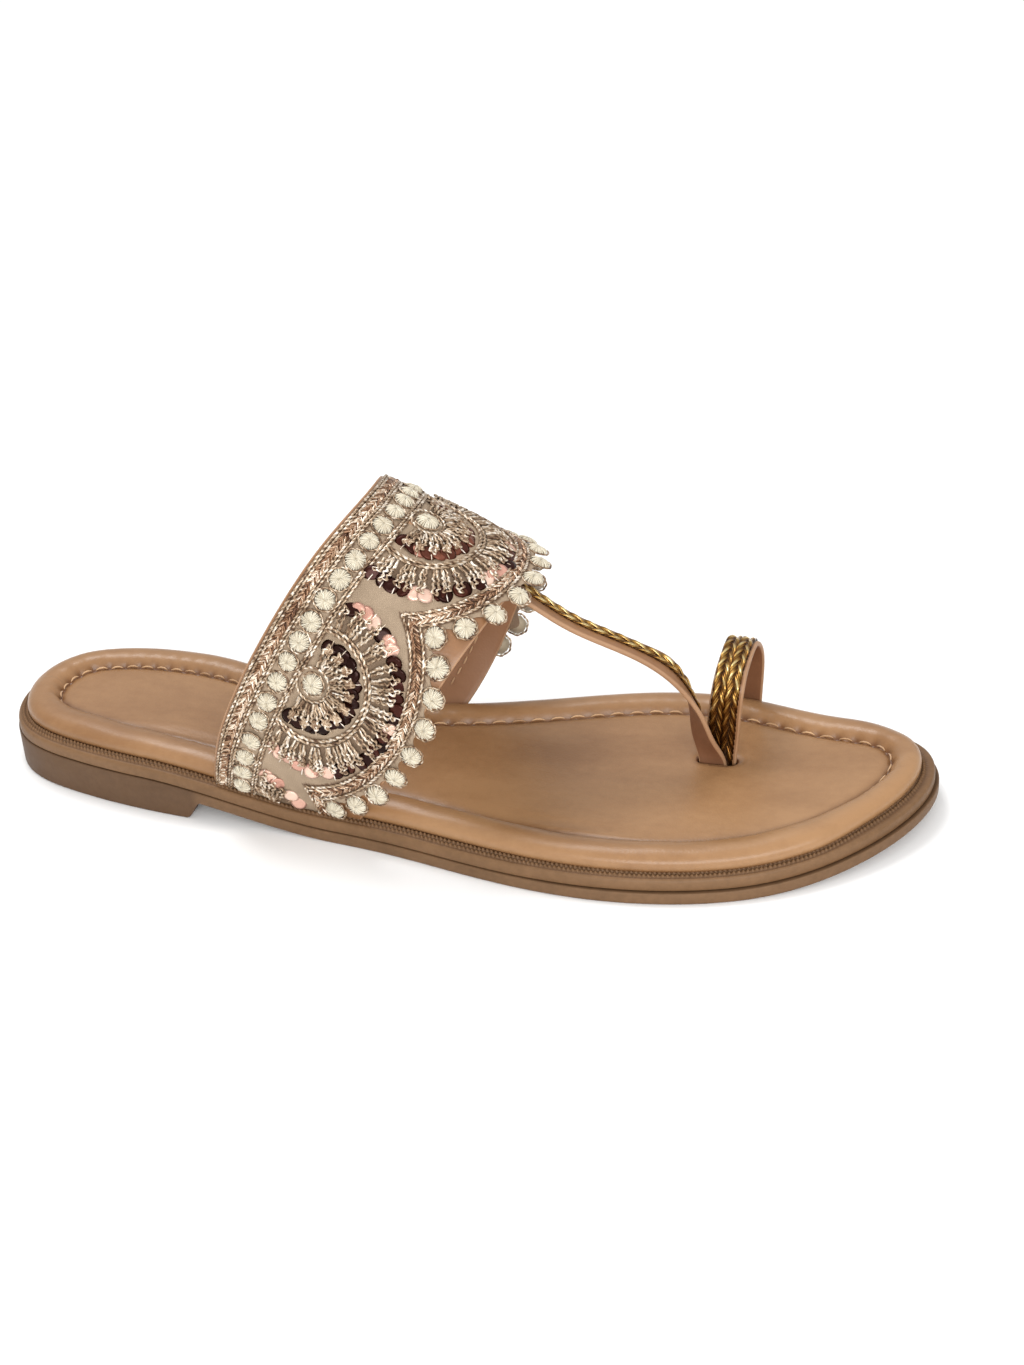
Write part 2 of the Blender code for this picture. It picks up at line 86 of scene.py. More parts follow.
STRAP_THICKNESS = 1.3
T_STRAP = (                    # lateral edge x, y, z, medial edge x, y, z
    (119.3, -7, 79.6, 118.7, 1.2, 79.8), (126.8, -6.3, 73.9, 126.2, 2, 74), (133.2, -5.4, 69, 132.5, 2.9, 69.1),
    (146.4, -3.9, 59.5, 145.5, 4.4, 59.5), (158.6, -2.3, 50.9, 157.2, 5.9, 50.8),
    (168.8, -0.4, 45.6, 167.3, 7.8, 45.5), (176.8, 1, 41.3, 175.5, 9.2, 41.5),
    (182.2, 2.1, 37, 181.3, 10.3, 38), (187, 3.3, 31.4, 185, 11.3, 31), (190.8, 3.9, 25.6, 186.5, 10.8, 24.6),
    (193.8, 5.4, 17.2, 187.3, 10.3, 16), (195.3, 7, 13.3, 188.4, 9.8, 12), (196.2, 8.1, 10.3, 189, 9, 9.4),
    (196.6, 8.4, 5.9, 189.2, 8.6, 5.9),
)
TOE_LOOP = (                   # front edge x, y, z, rear edge x, y, z
    (198.6, 9.7, 5.9, 190, 9.7, 5.9), (198.7, 10, 9, 190.1, 10, 9), (199, 10.6, 13, 190.4, 10.6, 13),
    (199.6, 10.4, 19, 190.9, 10.4, 18.5), (200.2, 9.8, 25.5, 191.5, 9.8, 24.8),
    (200.8, 9.8, 30.2, 192.2, 10, 29.6), (201, 11.8, 32.9, 192.5, 12.3, 32.3), (201, 16.5, 34.3, 192.6, 17, 34),
    (201, 22.5, 34.9, 192.7, 22.5, 35.2), (201, 28.2, 34.2, 192.6, 28.2, 34.6),
    (201, 33.2, 31.2, 192.4, 33.2, 31.4), (201, 36.8, 26.6, 192.2, 37, 26.6), (200.7, 38.5, 21, 192, 38.8, 21),
    (200.2, 39.2, 15, 191.8, 39.6, 15), (199.8, 39.7, 10, 191.6, 40.1, 10), (199.6, 39.8, 6, 191.5, 40.2, 6),
)
SLOT_CENTRE = (193.85, 9.3)
SLOT_SIZE = (10.5, 3.8)

# ------ embroidery layout
# Across is the distance from the band's middle (medial +), along is measured from its back edge.
LEATHER_TOP = 0.9              # depth of the leather's outer face under the embroidery's outer surface
FABRIC_TOP = 0.6
BACK_ROPES = (1.3, 2.15, 5, 5.8, 12.2, 13.05)
BACK_BRAID = (3.57, 2.2)        # middle, width
BACK_DISC_ROW = 9
DISC_PITCH = 6.3
DISC_RADII = (2.85, 3, 3.25)   # in the back row, at the front, in the medallions
DISC_STRANDS = 34
MEDALLION_ALONG = 17.2
MEDALLIONS = (-108, -54, 0, 54.5, 109)
MEDALLION_ROPES = (14.25, 15.25)
SCALLOP_ALONG = 9.5
SCALLOP_PITCH = 53.4
SCALLOP_ROPES = (31.6, 34.7)
SCALLOP_BRAID = (33.1, 2.3)
FRONT_DISC_RADIUS = 38
FRONT_DISC_STEP = 11.3         # degrees between the front discs of one scallop
FABRIC_EDGE_RADIUS = 37.5
THREAD_STEP = 0.25             # between a thread's points
PATTERN_DRIFT = np.array((  # distance across, spread across and stretch along at the front edge
    (-105, -2.3, 1), (-95, -5, -0.2), (-85, -5.5, -1), (-65, -4.6, -1), (-45, -3, -0.2), (-25, -1, 0),
    (-5, 0.8, -0.4), (5, 1, -0.4), (25, 1.9, 0), (45, 3.2, -0.2), (65, 4.6, -0.9), (85, 5.2, -0.9),
    (105, 2.6, 0.6),
))


# ------ curves and meshes
TURN = 2 * math.pi


def smoothstep(t):
    t = np.clip(t, 0, 1)
    return t * t * (3 - 2 * t)


def ramp_up(x, start, end):
    return smoothstep((x - start) / (end - start))


def between(low, high, share):
    return low + (high - low) * share


def hill(value, middle, half):
    return np.exp(-((value - middle) / half) ** 2)


def natural_spline(knots, values):
    """A function that runs smoothly through the rows of values at the knots."""
    count = len(knots)
    step = np.diff(knots)
    slope = np.diff(values, axis=0) / step[:, None]
    system = np.eye(count)
    right = np.zeros_like(values)
    for k in range(1, count - 1):
        system[k, k - 1:k + 2] = (step[k - 1], 2 * (step[k - 1] + step[k]), step[k])
        right[k] = 6 * (slope[k] - slope[k - 1])
    bend = np.linalg.solve(system, right)

    def curve(at):
        cell = np.clip(np.searchsorted(knots, at) - 1, 0, count - 2)
        width = step[cell][..., None]
        low = (at - knots[cell])[..., None]
        high = width - low
        linear = (values[cell] * high + values[cell + 1] * low) / width
        curved = bend[cell] * (high ** 3 / width - high * width)
        curved = curved + bend[cell + 1] * (low ** 3 / width - low * width)
        return linear + curved / 6

    return curve


def lengths_along(points):
    hops = np.linalg.norm(np.diff(points, axis=0), axis=1)
    return np.concatenate(([0], np.cumsum(hops)))


def follow(at, travel, values):
    """Rows of values read off at given lengths along their path."""
    return np.stack([np.interp(at, travel, column) for column in values.T], axis=-1)


def unit(vectors):
    size = np.linalg.norm(vectors, axis=-1)[..., None]
    return vectors / np.maximum(size, 1e-9)


def sweep(centre, side, up, reach, lift):
    """A row of points around each point of a path: reach goes to its side, lift upwards."""
    return centre[:, None] + side[:, None] * reach[..., None] + up[:, None] * lift[..., None]


def circle(count):
    return np.arange(count) / count * TURN


def link(name, data):
    made = bpy.data.objects.new(name, data)
    bpy.context.scene.collection.objects.link(made)
    return made


def grid_quads(rows, columns, closed_columns=True, closed_rows=False):
    """Faces of a grid of points stored row by row."""
    r, c = np.meshgrid(np.arange(rows - (not closed_rows)), np.arange(columns - (not closed_columns)), indexing="ij")
    r2 = (r + 1) % rows
    c2 = (c + 1) % columns
    return np.stack((r * columns + c, r * columns + c2, r2 * columns + c2, r2 * columns + c), axis=-1).reshape(-1, 4)


class Heap:
    """Gathers small forms, each with its tone, and joins them into one mesh."""

    def __init__(self):
        self.parts = []
        self.count = 0

    def add(self, points, quads, tone=0.5, slot=0):
        points = np.reshape(points, (-1, 3))
        quads = np.reshape(quads, (-1, 4))
        self.parts.append((points, quads + self.count, np.broadcast_to(tone, len(points)),
                           np.broadcast_to(slot, len(quads))))
        self.count += len(points)

    def sheet(self, points, tone=0.5, slot=0, flip=False, ringed=True, closed=False):
        """A grid of points; its rows are rings unless told otherwise, closed joins the last to the first."""
        shape = np.shape(points)[:2]
        quads = grid_quads(*shape, ringed, closed)
        self.add(points, quads[:, ::-1] if flip else quads, np.broadcast_to(tone, shape).ravel(), slot)

    def stamp(self, form, origins, axes, tones, keep=...):
        """Copies of one small form; axes are each copy's own x, y and z directions."""
        points, quads = form
        origins, tones = origins[keep], tones[keep]
        placed = np.einsum("pk,nkj->npj", points, np.stack(axes, axis=1)[keep]) + origins[:, None]
        offset = np.arange(len(origins))[:, None, None] * len(points)
        self.add(placed, quads + offset, np.repeat(tones, len(points)))

    def build(self, name, *finishes, slot="upper_leather"):
        points, quads, tones, slots = map(np.concatenate, zip(*self.parts))
        triangle = quads[:, 2] == quads[:, 3]
        keep = np.ones(quads.shape, bool)
        keep[triangle, 3] = False
        corners = quads[keep]
        sizes = np.where(triangle, 3, 4)
        mesh = bpy.data.meshes.new(name)
        mesh.vertices.add(len(points))
        mesh.vertices.foreach_set("co", ((points + SHIFT) * MM).astype(np.float32).ravel())
        mesh.loops.add(len(corners))
        mesh.loops.foreach_set("vertex_index", corners.astype(np.int32))
        mesh.polygons.add(len(quads))
        starts = np.cumsum(sizes) - sizes
        for key, values in (("loop_start", starts), ("loop_total", sizes), ("material_index", slots)):
            mesh.polygons.foreach_set(key, values.astype(np.int32))
        mesh.polygons.foreach_set("use_smooth", np.ones(len(quads), bool))
        for finish in finishes:
            mesh.materials.append(FINISHES[finish])
        mesh.attributes.new("tone", 'FLOAT', 'POINT').data.foreach_set("value", tones.astype(np.float32))
        mesh.update(calc_edges=True)
        mesh.validate()
        made = link(name, mesh)
        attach(made, "root")
        return made


def dome(sides, levels, hollow=0):
    """Round cushion of unit size on the local xy plane, closed underneath."""
    points = [(0, 0, 1 - hollow)]
    for level in range(1, levels + 1):
        r = level / levels
        lift = math.sqrt(max(0, 1 - r ** 2.4)) - hollow * (1 - r) ** 2
        points += [(r * math.cos(angle), r * math.sin(angle), lift) for angle in circle(sides)]
    points.append((0, 0, -0.25))
    quads = []
    last = 1 + (levels - 1) * sides
    for k in range(sides):
        following = (k + 1) % sides
        quads.append((0, 1 + k, 1 + following, 1 + following))
        for a in range(1, last, sides):
            b = a + sides
            quads.append((a + k, b + k, b + following, a + following))
        quads.append((last + k, len(points) - 1, last + following, last + following))
    return np.array(points), np.array(quads)


def grain(length, width, height, sides):
    """A rounded, slightly flattened thread of one stitch along local x."""
    stations = (-1, -0.8, -0.35, 0.35, 0.8, 1)
    points = []
    for s in stations:
        swell = math.sqrt(max(0.02, 1 - abs(s) ** 2.6))
        points += [(s * length / 2, math.cos(angle) * width / 2 * swell, math.sin(angle) * height / 2 * swell)
                   for angle in circle(sides)]
    base = (len(stations) - 1) * sides
    caps = [(0, k, k + 1, k + 1) for k in range(1, sides - 1)]
    caps += [(base, base + k + 1, base + k, base + k) for k in range(1, sides - 1)]
    return np.array(points), np.vstack((grid_quads(len(stations), sides)[:, ::-1], caps))


def rope(heap, points, ups, radius, pitch, tone, phase, wander=0, closed=False):
    """A two-ply twisted thread along a path."""
    if closed:
        along = unit(np.roll(points, -1, axis=0) - np.roll(points, 1, axis=0))
    else:
        along = unit(np.gradient(points, axis=0))
    across = unit(np.cross(ups, along))
    up = unit(np.cross(along, across))
    travel = lengths_along(points)
    bend = np.sin(travel * 3.7 + phase) + 0.8 * np.sin(travel * 6.1 + 2.3 * phase) * np.sin(travel * 0.9 + phase)
    points = points + across * (wander * bend)[:, None]
    turn = circle(6)
    twist = phase + TURN * travel / pitch
    ply = np.abs(np.cos(turn - 0.5 * twist[:, None]))
    ring = radius * (0.58 + 0.42 * ply)
    # painted light: glint puts random painted glints along the thread, and the ply term paints a highlight on each
    # ply's crown and shade in the twist between plies
    glint = np.repeat(rng.normal(0, 0.14, len(points) // 3 + 1), 3)[:len(points)]
    glint = glint + 0.1 * np.sin(travel * 0.8 + 1.7 * phase)
    tones = np.clip(tone + glint[:, None] + 0.5 * (ply - 0.72), 0, 1)
    heap.sheet(sweep(points, across, up, ring * np.cos(turn), ring * np.sin(turn) * 0.85), tones, closed=closed)


# ------ sole surfaces
def outline():
    """The sole's outline as a closed line, from the back of the heel."""
    lateral = [(x, y) for x, y, _ in SOLE_SECTIONS]
    medial = [(x, y) for x, _, y in reversed(SOLE_SECTIONS)]
    corners = np.array([HEEL_END, *lateral, TOE_END, *medial])
    wrap = 4
    closed = np.vstack((corners[-wrap:], corners, corners[:wrap + 1]))
    travel = lengths_along(closed)
    points = natural_spline(travel, closed)(np.linspace(travel[wrap], travel[wrap + len(corners)], 2401)[:-1])
    points = np.roll(points, -int(points[:, 0].argmin()), axis=0)
    return np.vstack((points, points[:1]))


def make_ring(count):
    """Evenly spaced points of the outline, their outward normals, and the outline's length."""
    line = outline()
    travel = lengths_along(line)
    points = follow(np.linspace(0, travel[-1], count + 1)[:-1], travel, line)
    ahead = np.roll(points, -2, axis=0) - np.roll(points, 2, axis=0)
    return points, unit(np.column_stack((ahead[:, 1], -ahead[:, 0]))), travel[-1]


def side_lines(line, x):
    """Where the lateral and the medial half of a ring's line lie, at each x."""
    toe = int(line[:, 0].argmax())
    return [np.interp(x, half[:, 0], half[:, 1]) for half in (line[1:toe], line[toe + 1:][::-1])]


def seat_height(x):
    heel = HEEL_RISE * ramp_up(x, *ARCH[::-1])
    spring = TOE_SPRING * (np.clip(x - TOE_SPRING_START, 0, None) / (SOLE_END - TOE_SPRING_START)) ** 2
    return OUTSOLE_THICKNESS + heel + spring


def under_height(x):
    plate = seat_height(x) - OUTSOLE_THICKNESS
    return plate * smoothstep((x - HEEL_BREAST[0] + 0.6) / (HEEL_BREAST[1] - HEEL_BREAST[0] + 0.4))


def welt_top(x):
    return seat_height(x) + WELT_HEIGHT


def welt_inset(x):
    return between(*WELT_INSET, ramp_up(x, *WELT_INSET_SPAN))


def toe_lip(x):
    """How much farther in the beads and the roll stand at the toe."""
    return TOE_LIP * smoothstep((x - TOE_LIP_START) / 16)


# ------ band surface
back_edge = natural_spline(BAND_BACK_EDGE[:, 0], BAND_BACK_EDGE[:, 1:])
ruling_angles = natural_spline(BAND_RULINGS[:, 0], np.radians(BAND_RULINGS[:, 1:]))
OUTLINE, OUTLINE_NORMALS, _ = make_ring(1200)


def free_band_point(across, along):
    pitch, splay = np.moveaxis(ruling_angles(across), -1, 0)
    way = np.stack((np.cos(pitch) * np.cos(splay), np.cos(pitch) * np.sin(splay), -np.sin(pitch)), axis=-1)
    return back_edge(across) + np.asarray(along)[..., None] * way


def hem_across(along, side, drop=0):
    """Distance across at which the band, followed down along one line, meets the welt less a drop."""
    trial = side * np.linspace(60, 122, 400)
    line = free_band_point(trial, along)
    clear = line[:, 2] - (welt_top(line[:, 0]) - drop)
    k = int(np.argmax(clear < 0))
    return between(trial[k - 1], trial[k], clear[k - 1] / (clear[k - 1] - clear[k]))


def foot_shift(along, side):
    """How far the band's foot is moved sideways, to stand on its line in the welt."""
    x, y, _ = free_band_point(np.array([hem_across(along, side)]), along)[0]
    return side_lines(OUTLINE - OUTLINE_NORMALS * HEM_INSET, x)[side > 0] - y


HEM_ALONG = np.linspace(-2, BAND_WIDTH + 2, 12)
SHIFTS = [[foot_shift(v, side) for v in HEM_ALONG] for side in (-1, 1)]
HEMS = [[hem_across(v, side) for v in HEM_ALONG] for side in (-1, 1)]


def hems(along, margin=0):
    """Distances across at the lateral and the medial hem, each moved in by a margin."""
    return np.interp(along, HEM_ALONG, HEMS[0]) + margin, np.interp(along, HEM_ALONG, HEMS[1]) - margin


def band_point(across, along, depth=0):
    """Point of the band; depth goes inwards from the embroidery's outer surface."""
    across, along = np.broadcast_arrays(across, along)
    points = free_band_point(across, along)
    shift = np.where(across < 0, *(np.interp(along, HEM_ALONG, shifts) for shifts in SHIFTS))
    height = points[..., 2] - welt_top(points[..., 0])
    points[..., 1] += shift * np.clip(1 - height / HEM_FADE, 0, 1) ** 2
    if np.any(depth):
        points = points - np.asarray(depth)[..., None] * band_axes(across, along)[2]
    return points


def band_axes(across, along):
    """Unit directions on the band: across it to the medial side, along it to the toe, and outwards."""
    step = 0.5
    sideways = band_point(across + step, along) - band_point(across - step, along)
    forwards = band_point(across, along + step) - band_point(across, along - step)
    outwards = unit(np.cross(forwards, sideways))
    forwards = unit(forwards)
    return unit(np.cross(outwards, forwards)), forwards, outwards


def on_band(across, along):
    """From the embroidery's own flat layout to distances across and along the band."""
    across, along = np.broadcast_arrays(across, along)
    share = along / BAND_WIDTH
    return [place + np.interp(across, PATTERN_DRIFT[:, 0], PATTERN_DRIFT[:, k]) * share
            for place, k in ((across, 1), (along, 2))]


def sewn_point(across, along, depth=0):
    return band_point(*on_band(across, along), depth)


def sewn_axes(across, along):
    return band_axes(*on_band(across, along))


def above_hem(across, along, margin):
    """Whether a place of the layout stands clear of the welt, on both sides."""
    across, along = on_band(across, along)
    low, high = hems(along, margin)
    return (across > low) & (across < high)


# ------ materials
FINISHES = {}                  # by name; the frame brings plain materials of its own under some of these names


def linear(color):
    """Colours are given as sRGB numbers up to 255, or as four linear ones."""
    return color if len(color) == 4 else tuple(((c / 255 + 0.055) / 1.055) ** 2.4 for c in color) + (1,)


class Nodes:
    """The node tree of a material or a world, being put together."""

    def __init__(self, owner):
        owner.use_nodes = True
        self.tree = owner.node_tree

    def put(self, socket, value):
        if hasattr(value, "is_output"):
            self.tree.links.new(value, socket)
        else:
            socket.default_value = linear(value) if socket.type == 'RGBA' else value

    def node(self, kind, inputs=None, **settings):
        made = self.tree.nodes.new("ShaderNode" + kind)
        for key, value in settings.items():
            setattr(made, key, value)
        for key, value in (inputs or {}).items():
            self.put(made.inputs[key], value)
        return made

    def ramp(self, factor, *stops):
        made = self.node("ValToRGB", {"Fac": factor})
        elements = made.color_ramp.elements
        while len(elements) < len(stops):
            elements.new(0.5)
        for element, (position, color) in zip(elements, stops):
            element.position = position
            element.color = linear(color)
        return made.outputs["Color"]


class Finish(Nodes):
    """A material under way."""

    def __init__(self, name, roughness=0.5, metallic=0, specular=0.5, sheen=0):
        FINISHES[name] = bpy.data.materials.new(name)
        super().__init__(FINISHES[name])
        self.shader = self.tree.nodes["Principled BSDF"]
        for key, value in (("Roughness", roughness), ("Metallic", metallic), ("Specular IOR Level", specular),
                           ("Sheen Weight", sheen)):
            self.put(self.shader.inputs[key], value)
        self.place = self.node("TexCoord").outputs["Object"]
        self.relief = None

    def noise(self, scale, detail=2, roughness=0.5, stretch=None):
        place = self.place
        if stretch:
            place = self.node("Mapping", {"Vector": place, "Scale": stretch}).outputs["Vector"]
        return self.node("TexNoise", {"Vector": place, "Scale": scale, "Detail": detail,
                                      "Roughness": roughness}).outputs["Fac"]

    def bands(self, direction):
        return self.node("TexWave", {"Vector": self.place, "Scale": 620, "Distortion": 0.8, "Detail": 1},
                         bands_direction=direction).outputs["Fac"]

    def tone(self):
        return self.node("Attribute", attribute_name="tone").outputs["Fac"]

    def math(self, operation, a, b, clamp=False):
        return self.node("Math", {0: a, 1: b}, operation=operation, use_clamp=clamp).outputs[0]

    def weighed(self, *parts):
        """Sum of values, each times its weight."""
        total = None
        for value, weight in parts:
            term = self.math('MULTIPLY', value, weight)
            total = self.math('ADD', total, term) if total else term
        return total

    def mix(self, factor, a, b, blend='MIX'):
        return self.node("Mix", {0: factor, 6: a, 7: b}, data_type='RGBA', blend_type=blend).outputs[2]

    def color(self, value):
        self.put(self.shader.inputs["Base Color"], value)

    def roughness(self, factor, low, high):
        made = self.node("MapRange", {"Value": factor, "To Min": low, "To Max": high})
        self.put(self.shader.inputs["Roughness"], made.outputs[0])

    def bump(self, height, distance, strength=1):
        """Adds one more layer of relief under the shader; distance in millimetres."""
        made = self.node("Bump", {"Height": height, "Distance": distance * MM, "Strength": strength})
        if self.relief:
            self.put(made.inputs["Normal"], self.relief)
        self.relief = made.outputs["Normal"]
        self.put(self.shader.inputs["Normal"], self.relief)


def leather(name, light, dark, roughness, crease):
    """Tanned leather: mottling, pebbled grain, soft creases, a waxy gloss; tone 0 is the darkest painted shade, laid
    into grooves, creases and stitch holes.
    """
    made = Finish(name, specular=0.45)
    broad = made.noise(13, stretch=(1, 2, 1))
    mottle = made.noise(60, 4, 0.6, (0.7, 1.5, 1.5))
    fine = made.noise(420, 3, 0.6)
    face = made.ramp(made.weighed((mottle, 0.35), (fine, 0.15), (broad, 0.5)), (0.38, dark), (0.62, light))
    # painted shade: tones below 0.5 multiply the leather towards a dark brown
    shade = made.ramp(made.tone(), (0, (0.36, 0.22, 0.14, 1)), (0.5, (1, 1, 1, 1)))
    made.color(made.mix(1, face, shade, 'MULTIPLY'))
    made.roughness(made.noise(110, 3), *roughness)
    made.bump(made.noise(70, 3, 0.55, (0.6, 1.6, 1.6)), crease, 0.5)
    pebbles = made.node("TexVoronoi", {"Vector": made.place, "Scale": 1500}).outputs["Distance"]
    made.bump(pebbles, 0.05, 0.5)


def zari(name, stops, metallic, roughness, flicker=1):
    """Metal-wrapped thread: the tone of each stitch picks its colour, with painted shade at the dark end and painted
    glints at the light end.
    """
    thread = Finish(name, metallic=metallic)
    # painted glints: a fine noise shifts the tone up and down; it also varies the roughness and the relief
    flash = thread.noise(1300, 2, 0.6)
    spread = thread.math('MULTIPLY', thread.math('SUBTRACT', flash, 0.5), flicker)
    thread.color(thread.ramp(thread.math('ADD', thread.tone(), spread, clamp=True), *stops))
    thread.roughness(flash, *roughness)
    thread.bump(thread.noise(3000, 1), 0.06, 0.8 * flicker)


def moulding(name, light, dark, lip, roughness):
    """Matt moulded sole: fine speckle, and painted shade where the tone is low, which turns the colour to the lip
    colour.
    """
    made = Finish(name, specular=0.3)
    speck = made.noise(800, 3, 0.7)
    drift = made.noise(45, 3)
    brush = made.noise(520, 3, 0.6)
    body = made.ramp(made.weighed((drift, 0.5), (brush, 0.5)), (0.36, dark), (0.64, light))
    body = made.mix(made.math('MULTIPLY', speck, 0.3), body, dark)
    # painted shade: low tones blend the surface to the dark lip colour
    made.color(made.mix(made.tone(), lip, body))
    made.roughness(made.noise(200), *roughness)
    made.bump(brush, 0.1, 0.5)
    made.bump(speck, 0.08, 0.6)


def make_materials():
    leather("footbed_leather", (160, 121, 83), (136, 98, 63), (0.3, 0.42), 0.3)
    leather("upper_leather", (146, 106, 72), (133, 93, 61), (0.3, 0.42), 0.12)
    leather("lining_leather", (152, 109, 76), (138, 97, 66), (0.4, 0.55), 0.2)
    # a darker copy of the upper leather, painted shade for the inner faces of the straps
    leather("shaded_strap_back_leather", (130, 89, 61), (116, 76, 51), (0.45, 0.6), 0.2)
    leather("cut_edge_leather", (170, 131, 98), (154, 116, 84), (0.5, 0.66), 0.06)
    # each moulding's third colour, lip, is the painted shade colour of its grooves and hidden faces
    moulding("welt_moulding", (124, 92, 62), (108, 79, 51), (72, 46, 29), (0.45, 0.6))
    moulding("outsole_moulding", (118, 88, 60), (101, 74, 49), (54, 34, 20), (0.5, 0.66))
    zari("champagne_zari", ((0, (66, 42, 28)), (0.3, (120, 92, 68)), (0.62, (178, 154, 126)), (1, (250, 240, 226))),
         0.4, (0.26, 0.42))
    zari("copper_zari", ((0, (70, 42, 26)), (0.3, (126, 88, 60)), (0.6, (174, 140, 110)), (1, (250, 236, 216))),
         0.45, (0.2, 0.38))
    zari("satin_tips", ((0, (94, 68, 50)), (0.5, (146, 116, 90)), (1, (192, 168, 140))), 0.3, (0.3, 0.5))
    zari("antique_gold_braid", ((0, (44, 22, 6)), (0.3, (106, 68, 26)), (0.62, (180, 140, 74)),
                                (1, (255, 236, 176))), 0.9, (0.2, 0.3), 0.2)

    stitch = Finish("stitch_thread", sheen=0.3)
    stitch.color(stitch.ramp(stitch.tone(), (0, (166, 126, 86)), (1, (206, 166, 122))))
    stitch.bump(stitch.noise(2600, 1), 0.05)

    silk = Finish("silk_fabric", roughness=0.65, specular=0.3, sheen=0.04)
    weave = silk.math('MULTIPLY', silk.bands('X'), silk.bands('Z'))
    cloth = silk.ramp(silk.noise(160, 4, 0.6), (0.3, (142, 122, 100)), (0.7, (161, 140, 117)))
    cloth = silk.mix(silk.math('MULTIPLY', weave, 0.3), cloth, (172, 152, 130))
    # painted shade: a low tone turns the cloth dark brown where thread work lies over it
    silk.color(silk.mix(silk.tone(), (88, 62, 42), cloth))
    silk.bump(weave, 0.08, 0.7)

    cream = Finish("cream_silk_thread", sheen=0.2)
    strand = cream.noise(1200, 2, 0.6)
    body = cream.ramp(cream.tone(), (0, (128, 108, 84)), (0.4, (190, 178, 154)), (1, (228, 220, 200)))
    cream.color(cream.mix(cream.math('MULTIPLY', strand, 0.25), body, (184, 168, 140)))
    cream.bump(strand, 0.1, 0.8)

    # dark matt bed under the plaits: the braid's backing, and painted shade in the gaps between the strands
    core = Finish("braid_bed_and_gap_shade", roughness=0.7, specular=0.08)
    core.color(core.ramp(core.noise(900), (0.3, (40, 22, 10)), (0.7, (70, 44, 22))))
    core.bump(core.noise(2000), 0.1)

    foil = Finish("sequin_foil", metallic=0.3, specular=0.14)
    film = foil.noise(520)
    foil.color(foil.ramp(foil.math('ADD', foil.tone(), foil.math('MULTIPLY', film, 0.06)), (0, (22, 8, 5)),
                         (0.3, (58, 24, 16)), (0.55, (136, 82, 64)), (0.8, (206, 156, 138)), (1, (236, 204, 184))))
    foil.roughness(film, 0.14, 0.3)

    paper = Finish("floor_paper", roughness=0.85, specular=0.2)
    paper.color(paper.ramp(paper.noise(3), (0.3, (0.93, 0.93, 0.925, 1)), (0.7, (0.945, 0.945, 0.94, 1))))


make_materials()


# ------ sole
def close_ring(heap, ring, height, rows, upwards, tone=0.5):
    """Close a ring with rows of faces that run in to a centre line."""
    x = ring[:, 0]
    spine_x = np.clip(x, x.min() + 24, x.max() - 24)
    spine = np.column_stack((spine_x, sum(side_lines(ring, spine_x)) / 2))
    share = np.arange(rows + 1)[:, None, None] / rows
    flat = ring[:, :2] * (1 - share) + spine * share
    heap.sheet(np.dstack((flat, height(flat[..., 0], flat[..., 1]))), tone, flip=not upwards)


OUTSOLE_PROFILE = (            # inset, share of the way from the underside to the top, extra height, tone; low tones are painted shade in the tread recess and in the groove under the welt
    (4.8, 0, 0.55, 0.6), (4.3, 0, 0.5, 0.6), (4, 0, 0, 1), (0.8, 0, 0, 1), (0.3, 0, 0.12, 1), (0.08, 0, 0.4, 1),
    (0, 0, 0.8, 1), (0, 0.5, 0, 1), (0, 1, -0.36, 1), (0.06, 1, -0.2, 1), (0.3, 1, -0.12, 0.85),
    (0.8, 1, -0.1, 0.6), (2.6, 1, -0.1, 0.2),
)
TREAD_PITCH = 4.6
TREAD_ZONES = ((8, 56), (112, 243))
TREAD_SECTION = np.array(((-1.3, 0.62), (-1, 0), (1, 0), (1.3, 0.62)))
TREAD_SWAY = 1.1               # of a bar's wavy middle line, to each side
TREAD_INSET = 4.2              # of the recess that holds the bars
TREAD_GAP = 1.6                # between its edge and a bar's end
TREAD_SHORTEST = 8


def make_outsole():
    points, normals, _ = make_ring(900)
    heel = smoothstep((HEEL_BREAST[1] - points[:, 0]) / 3)
    rings = []
    for inset, share, extra, _ in OUTSOLE_PROFILE:
        flat = points - normals * (inset + 0.25 * heel * (1 - share))[:, None]
        low, high = under_height(flat[:, 0]), seat_height(flat[:, 0])
        rings.append(np.column_stack((flat, between(low, high, share) + extra)))
    heap = Heap()
    # painted shade: behind the heel breast the tone is cut by up to 0.45, darkening the heel block
    heap.sheet(rings, [tone * (1 - 0.45 * heel) for *_, tone in OUTSOLE_PROFILE])
    # painted shade: the underside takes tone 0.6 and the top hidden under the welt takes tone 0
    close_ring(heap, rings[0], lambda x, y: under_height(x) + 0.55, 24, False, 0.6)
    close_ring(heap, rings[-1], lambda x, y: seat_height(x) - 0.12, 3, True, 0)
    recess = points - normals * TREAD_INSET
    half = TREAD_SWAY + TREAD_SECTION[-1, 0]
    for start, end in TREAD_ZONES:
        for x in np.arange(start, end, TREAD_PITCH):
            lateral, medial = side_lines(recess, x + np.array((-half, 0, half)))
            low, high = lateral.max() + TREAD_GAP, medial.min() - TREAD_GAP
            if high - low < TREAD_SHORTEST:
                continue
            y = np.linspace(low, high, 44)[:, None]
            across = x + TREAD_SWAY * np.sin(y * TURN / 11) + TREAD_SECTION[:, 0]
            heap.sheet(np.dstack((across, y + 0 * across, under_height(across) + TREAD_SECTION[:, 1])), 1)
    return heap.build("outsole_shell", "outsole_moulding", slot="outsole_rubber")


